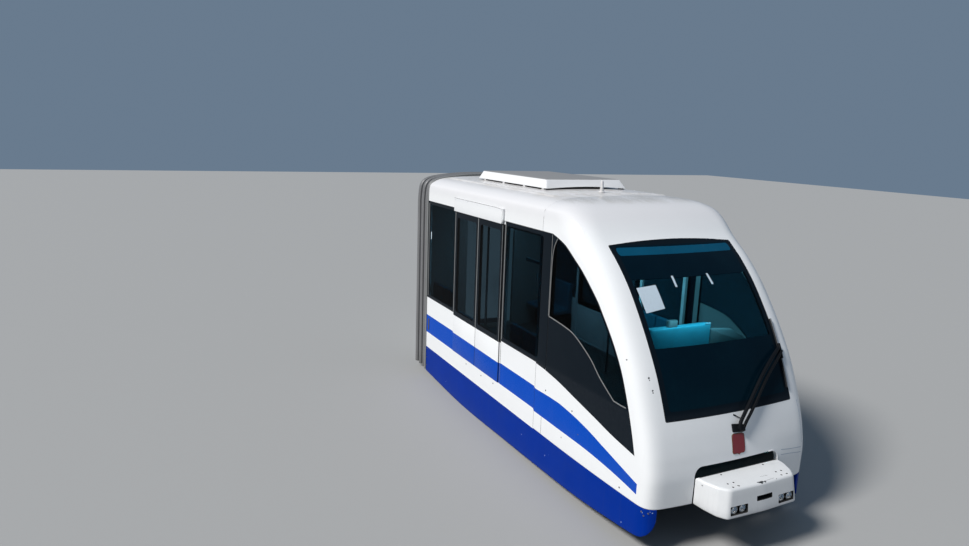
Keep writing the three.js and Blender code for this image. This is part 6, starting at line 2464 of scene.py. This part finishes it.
@dataclass
class Cabin:
    """Desk, seats, poles, ceiling strips and floor that show through the glass."""

    def build(self) -> None:
        """Makes the inside."""
        self.desk()
        self.driver_seat()
        for label, side in SIDES.items():
            for place, x0, x1 in (("rear", -2480, -1620), ("front", 200, 920)):
                self.bench(label, side, place, x0, x1)
        self.poles()
        self.ceiling()
        for node in ("floor_deck", "underframe"):
            dress(node, "frame")
        dress("rear_frame", "lining")

    def desk(self) -> None:
        """Driver's desk with its console, screens and a painted highlight on the console's top
        edge.
        """
        draft = MeshDraft()
        body = rounded([(2430, FLOOR_Z), (2880, FLOOR_Z), (2880, 900), (2800, 1130), (2520, 1090),
                        (2430, 1010)], [10, 10, 60, 50, 50, 60], 60.0)
        draft.prism(body, "xz", -720, 720, 18.0, 0, 3)
        draft.block((2470, -600, 1085), (2560, -180, 1290), 14.0, 1, 3)
        draft.block((2470, 120, 1085), (2560, 560, 1240), 14.0, 1, 3)
        draft.block((2462, -570, 1110), (2472, -210, 1270), 4.0, 2)
        draft.release("desk_body", "teal lining frit", Slot.CAB, "driver_desk")
        console = MeshDraft()
        shape = rounded([(2340, 1560), (2440, 1560), (2440, 1846), (2340, 1838)], 18.0, 40.0)
        console.prism(shape, "xz", -660, 180, 20.0, 0, 3)
        wedge = rounded([(190, 1560), (740, 1560), (726, 1618), (499, 1747), (190, 1771)], 8.0,
                        40.0)
        console.prism(wedge, "yz", 2360, 2436, 8.0, 1)
        console.block((2330, -640, 1085), (2400, -560, 1580), 10.0)
        console.block((2330, 80, 1085), (2400, 160, 1580), 10.0)
        console.block((2370, -400, 1830), (2430, -285, 1915), 12.0, 1, 3)
        # A thin light block on the console's top edge: painted highlight
        console.block((2424, 95, 1838), (2443, 172, 1851), 4.0, 2, 3)
        console.release("front_console", "teal lining sign", Slot.CAB, smooth=40.0)

    def driver_seat(self) -> None:
        """Driver's seat with side wings."""
        draft = MeshDraft()
        draft.lathe([(0, 0), (210, 0), (210, 14), (60, 40), (52, 340), (90, 356), (0, 356)],
                    (2050, 0, FLOOR_Z), "z", 32, 1)
        draft.block((1835, -228, 845), (2268, 228, 938), 34.0, 0, 4)
        back = rounded([(1834, 935), (1926, 935), (1846, 1646), (1784, 1646)], [20, 30, 30, 28],
                       60.0)
        draft.prism(back, "xz", -218, 218, 26.0, 0, 4)
        draft.release("cab_seat", "seat trim", Slot.SEAT, "driver_seat", smooth=50.0)

    def bench(self, label: str, side: float, place: str, x0: float, x1: float) -> None:
        """Two seat shells on a plinth."""
        draft = MeshDraft()
        plinth = rounded([(1094, FLOOR_Z), (1094, 850), (880, 818), (900, FLOOR_Z)], 8.0, 80.0)
        draft.prism(plinth * [side, 1], "yz", x0, x1, 6.0, 1)
        width = (x1 - x0) / 2
        shell = [(1092, 860), (1092, 1378), (1024, 1378), (1003, 935), (694, 914), (690, 856),
                 (880, 852)]
        for k in range(2):
            a = x0 + k * width + 6
            outline = rounded(shell, [10, 26, 26, 60, 24, 20, 20], 60.0)
            draft.prism(outline * [side, 1], "yz", a, a + width - 12, 16.0, 0, 3)
        name = f"bench_seats_{place}_{label}"
        draft.release(name, "seat trim", Slot.SEAT, f"bench_{place}_{label}", smooth=50.0)

    def poles(self) -> None:
        """Grab poles with flanges and rail ends."""
        draft = MeshDraft()
        for side in (LEFT, RIGHT):
            y = side * 560.0
            for x in (-1560.0, 140.0):
                draft.tube(evenly([(x, y, FLOOR_Z), (x, y, 3028)], 300), 17.0, sides=18)
                draft.lathe([(0, 0), (46, 0), (46, 5), (22, 18), (17, 18)], (x, y, FLOOR_Z), "z",
                            24)
            draft.tube(evenly([(-2350, y, 2480), (900, y, 2480)], 400), 15.0, sides=16)
        for x in (-1560.0, 140.0):
            draft.tube(evenly([(x, -560, 2900), (x, 560, 2900)], 300), 15.0, sides=16)
        draft.release("pole_set", "steel", Slot.STEEL, "grab_poles", smooth=50.0)

    def ceiling(self) -> None:
        """Two light strips under the roof."""
        draft = MeshDraft()
        for y in (-300.0, 300.0):
            draft.block((-2400, y - 40, 2985), (900, y + 40, 3012), 8.0)
        for side in (LEFT, RIGHT):
            draft.block((210, side * 880, 2195), (720, side * 900, 2240), 8.0, 1)
            draft.block((505, side * 895, 1990), (525, side * 901, 2090), 2.0)
        draft.release("ceiling_strips", "sign teal", Slot.CAB)
        floor = MeshDraft()
        floor.block((REAR_X + 50, -1080, FLOOR_Z), (2380, 1080, 484), 1.5)
        floor.release("floor_covering", "floor", Slot.CAB)


# Running gear


@dataclass
class RunningGear:
    """Tyred axles, guide wheels and bogie frames."""

    tyre_y: float = 700.0
    tyre_half: float = 55.0
    rim: float = 140.0
    radius: float = 180.0
    guide_y: float = 1020.0
    guide_x: float = 260.0

    def build(self) -> None:
        """Makes both bogies."""
        for place, lead in (("front", 1.0), ("rear", -1.0)):
            axle = Body[f"AXLE_{place.upper()}"]
            self.axle(place, lead * BOGIE_X, axle)
            for label, side in SIDES.items():
                self.tyre(place, lead * BOGIE_X, label, side, axle)
                guide = Body[f"GUIDE_{place.upper()}_{label.upper()}"]
                self.guide(place, lead * (BOGIE_X + self.guide_x), label, side, guide)
            dress(f"bogie_frame_{place}", "frame")
            self.frame_bolts(place, lead, Body[f"BOGIE_{place.upper()}"])

    def axle(self, place: str, x: float, body: Body) -> None:
        """Axle bar with a dished wheel disc at each end."""
        draft = MeshDraft()
        rim = self.rim - 6
        end = [(40, 645), (rim, 645), (self.rim, 649), (self.rim, 751), (rim, 755), (118, 755),
               (114, 735), (70, 722), (60, 730), (58, 770), (50, 777), (0, 777)]
        waist = [(40, -400), (37, -380), (37, 380), (40, 400)]
        profile = [(r, -h) for r, h in end[::-1]] + waist + end
        draft.lathe(profile, (x, 0, WHEEL_Z), "y", 64)
        draft.release(f"axle_wheels_{place}", "steel", Slot.STEEL, f"running_axle_{place}",
                      body=body, smooth=28.0)
        for label, side in SIDES.items():
            nuts = [(x + 90 * math.sin(a), side * 727.5, WHEEL_Z + 90 * math.cos(a))
                    for a in np.linspace(0, 2 * math.pi, 10, endpoint=False)]
            fasteners(f"wheel_nuts_{place}_{label}", nuts, (0, side, 0), HEX_BOLT, body)

    def tyre(self, place: str, x: float, label: str, side: float, body: Body) -> None:
        """Solid tyre with three grooves and cross cuts."""
        low, high = self.tyre_y - self.tyre_half, self.tyre_y + self.tyre_half
        top = self.radius
        tread = [(self.rim + 0.3, low), (top - 22, low), (top - 12, low + 2), (top - 4, low + 8),
                 (top, low + 14)]
        for middle in (low + 32, self.tyre_y, high - 32):
            tread += [(top, middle - 6), (top - 7, middle - 4), (top - 7, middle + 4),
                      (top, middle + 6)]
        tread += [(top, high - 14), (top - 4, high - 8), (top - 12, high - 2), (top - 22, high),
                  (self.rim + 0.3, high)]
        draft = MeshDraft()
        draft.lathe([(r, side * h) for r, h in tread], (x, 0, WHEEL_Z), "y", 96, closed=True)
        piece = draft.build(f"tyre_{place}_{label}", looks("tyre"), 25.0)
        publish(piece, body, Slot.TYRE, f"running_tyre_{place}_{label}")
        lug = MeshDraft()
        for edge in (low + 1, high - 1):
            inward = 1.0 if edge < self.tyre_y else -1.0
            lug.block((x - 4, side * (edge - 0.6 * inward), WHEEL_Z + top - 30),
                      (x + 4, side * (edge + 9 * inward), WHEEL_Z + top - 9), 2.0, 0, 1)
        ribs = lug.build(f"tyre_ribs_{place}_{label}", looks("tyre"))
        wheel_tree().apply(ribs, {"Count": 36, "Centre": (x * MM, 0.0, WHEEL_Z * MM),
                                  "Turn": (0.0, math.radians(10), 0.0), "Material": look("tyre")})
        publish(ribs, body, Slot.TYRE)

    def guide(self, place: str, x: float, label: str, side: float, body: Body) -> None:
        """Guide wheel with a steel hub in a rubber tyre."""
        draft = MeshDraft()
        low, top, radius = -140.0, -60.0, 50.0
        tyre = [(34, low + 2), (44, low), (48, low + 3), (radius, low + 9), (radius, top - 9),
                (48, top - 3), (44, top), (34, top - 2)]
        hub = [(15.8, low + 4), (22, low + 2), (24, low + 8), (33.9, low + 10), (33.9, top - 10),
               (24, top - 8), (22, top - 2), (15.8, top - 4)]
        draft.lathe(tyre, (x, side * self.guide_y, 0), "z", 48, 0, closed=True)
        draft.lathe(hub, (x, side * self.guide_y, 0), "z", 48, 1, closed=True)
        draft.release(f"guide_roller_{place}_{label}", "tyre steel", Slot.TYRE,
                      f"guide_wheel_{place}_{label}", body=body, smooth=28.0)

    def frame_bolts(self, place: str, lead: float, body: Body) -> None:
        """Bolts on the bogie frame's beams and arms."""
        spots, ways = [], []
        x = lead * BOGIE_X
        for side in (LEFT, RIGHT):
            beam = [(x + dx, side * 550.0, z) for dx in (-280, -200, -120, 120, 200, 280)
                    for z in (270.0, 150.0)]
            arm = [(x + lead * self.guide_x, side * y, 285.0) for y in (620, 760, 900)]
            spots += beam + arm
            ways += [(0, side, 0)] * len(beam) + [(0, 0, 1)] * len(arm)
        fasteners(f"bogie_bolts_{place}", spots, ways, HEX_BOLT, body)


@dataclass
class Underside:
    """Motor, drawbar and end passage trim."""

    def build(self) -> None:
        """Makes the pieces below the floor."""
        dress("linear_motor", "motor")
        fins = MeshDraft()
        fins.block((-790, -262, 30), (-782, 262, 100), 1.5)
        piece = fins.build("motor_fins", looks("motor"))
        publish(in_a_row(piece, 34, (47, 0, 0), "motor"), Body.CAR, Slot.MOTOR)
        self.drawbar()
        self.passage()

    def drawbar(self) -> None:
        """Drawbar with its eye and coupler head."""
        x = -2450.0
        draft = MeshDraft()
        eye = [(24.8, 296), (62, 296), (70, 304), (70, 352), (62, 360), (24.8, 360)]
        draft.lathe([(r, h) for r, h in eye], (x, 0, 0), "z", 48, 0, closed=True)
        body = rounded(box(-610, -60, -40, 40), [8, 4, 4, 8], 80.0)
        draft.prism(body + [x, 0], "xy", 300, 356, 8.0, 0, 3)
        draft.block((x - 640, -70, 285), (x - 540, 70, 371), 12.0, 0, 3)
        draft.block((x - 548, -56, 292), (x - 470, 56, 364), 16.0, 0, 3)
        draft.release("drawbar_bar", "steel", Slot.STEEL, "drawbar", body=Body.DRAWBAR, smooth=35.0)

    def passage(self) -> None:
        """Rubber edge of the end passage."""
        draft = MeshDraft()
        line = rounded(box(-450, 450, 541, 2500), 10.0, 200.0)
        path = np.column_stack([np.full(len(line), REAR_X + 1.0), line])
        draft.bead(path, (-1.0, 0.0, 0.0), 16, 6, True)
        draft.release("passage_rubber", "rubber", Slot.TRIM)


# Studio


@dataclass
class Studio:
    """Floor, soft lights and the camera."""

    eye: tuple[float, float, float] = (7.8427, -5.2871, 3.7613)
    yaw: float = 153.56
    pitch: float = -11.264
    roll: float = 2.026
    lens: float = 25.61
    floor_z: float = -0.262
    key_way: tuple[float, float, float] = (0.045, -0.70, 0.712)

    def build(self) -> None:
        """Makes the whole studio."""
        self.camera()
        self.floor()
        self.lights()

    def camera(self) -> None:
        """Camera at the photograph's place and angle."""
        yaw, pitch, roll = (math.radians(a) for a in (self.yaw, self.pitch, self.roll))
        ahead = Vector((math.cos(pitch) * math.cos(yaw), math.cos(pitch) * math.sin(yaw),
                        math.sin(pitch)))
        right = ahead.cross(Vector((0, 0, 1))).normalized()
        up = right.cross(ahead)
        right_rolled = math.cos(roll) * right + math.sin(roll) * up
        up_rolled = -math.sin(roll) * right + math.cos(roll) * up
        data = bpy.data.cameras.new("camera")
        data.lens, data.sensor_width, data.sensor_fit = self.lens, 36.0, "HORIZONTAL"
        data.clip_end = 200.0
        camera = new_object("camera", data)
        turn = Matrix((right_rolled, up_rolled, -ahead)).transposed().to_4x4()
        camera.matrix_world = Matrix.Translation(self.eye) @ turn
        bpy.context.scene.camera = camera

    def floor(self) -> None:
        """Plain pale floor."""
        mesh = bpy.data.meshes.new("studio_floor")
        reach = 60.0
        corners = [(x, y, self.floor_z) for x, y in box(-reach, reach, -reach, reach)]
        mesh.from_pydata(corners, [], [(0, 1, 2, 3)])
        floor = new_object("studio_floor", mesh)
        material = bpy.data.materials.new("studio_floor")
        material.use_nodes = True
        shader = material.node_tree.nodes["Principled BSDF"]
        shader.inputs["Base Color"].default_value = (0.35, 0.35, 0.347, 1.0)
        shader.inputs["Roughness"].default_value = 0.85
        mesh.materials.append(material)

    def lights(self) -> None:
        """Soft key from the right side, with weak fill and sky."""
        world = bpy.context.scene.world or bpy.data.worlds.new("studio")
        bpy.context.scene.world = world
        world.use_nodes = True
        background = world.node_tree.nodes["Background"]
        background.inputs["Color"].default_value = (0.52, 0.73, 1.0, 1.0)
        background.inputs["Strength"].default_value = 0.27
        sun = bpy.data.lights.new("key", "SUN")
        sun.energy, sun.angle, sun.color = 4.1, math.radians(16), (1.0, 0.975, 0.94)
        key = new_object("key", sun)
        key.matrix_world = Vector(self.key_way).to_track_quat("Z", "Y").to_matrix().to_4x4()
        self.area("cab_lamp", (2.535, 0.0, 1.97), (2.44, 0.0, 1.72), (1.3, 0.08), 4.2,
                  (0.85, 0.97, 1.0))
        self.area("saloon_lamp", (-0.9, 0.0, 2.8), (-0.9, 0.0, 0.5), (2.4, 1.2), 60.0,
                  (0.85, 0.95, 1.0))
        self.area("front_lamp", (1.2, 0.0, 2.7), (1.7, 0.0, 1.2), (1.0, 0.5), 26.0,
                  (0.85, 0.95, 1.0))
        bpy.context.scene.view_settings.view_transform = "Standard"
        bpy.context.scene.view_settings.look = "None"

    @staticmethod
    def area(name: str, place: Sequence[float], aim: Sequence[float], size: tuple[float, float],
             power: float, colour: Colour) -> None:
        """A soft light inside the car, aimed at a point and not seen itself."""
        data = bpy.data.lights.new(name, "AREA")
        data.shape = "RECTANGLE"
        data.size, data.size_y, data.energy, data.color = *size, power, colour
        lamp = new_object(name, data)
        lamp.visible_camera = lamp.visible_glossy = lamp.visible_transmission = False
        way = Vector(aim) - Vector(place)
        turn = way.to_track_quat("-Z", "Y").to_matrix().to_4x4()
        lamp.matrix_world = Matrix.Translation(place) @ turn


def main() -> None:
    """Builds every sub-assembly in order."""
    logging.basicConfig(level=logging.INFO, format="%(name)s %(message)s")
    for part in (Studio(), NoseBody(), NosePanes(), BodySides(), DoorSet(), Roof(), Skirts(),
                 Bellows(), CouplerCover(), FrontFittings(), Cabin(), RunningGear(), Underside()):
        part.build()
        LOG.info("%s done", type(part).__name__)


if __name__ == "__main__":
    main()
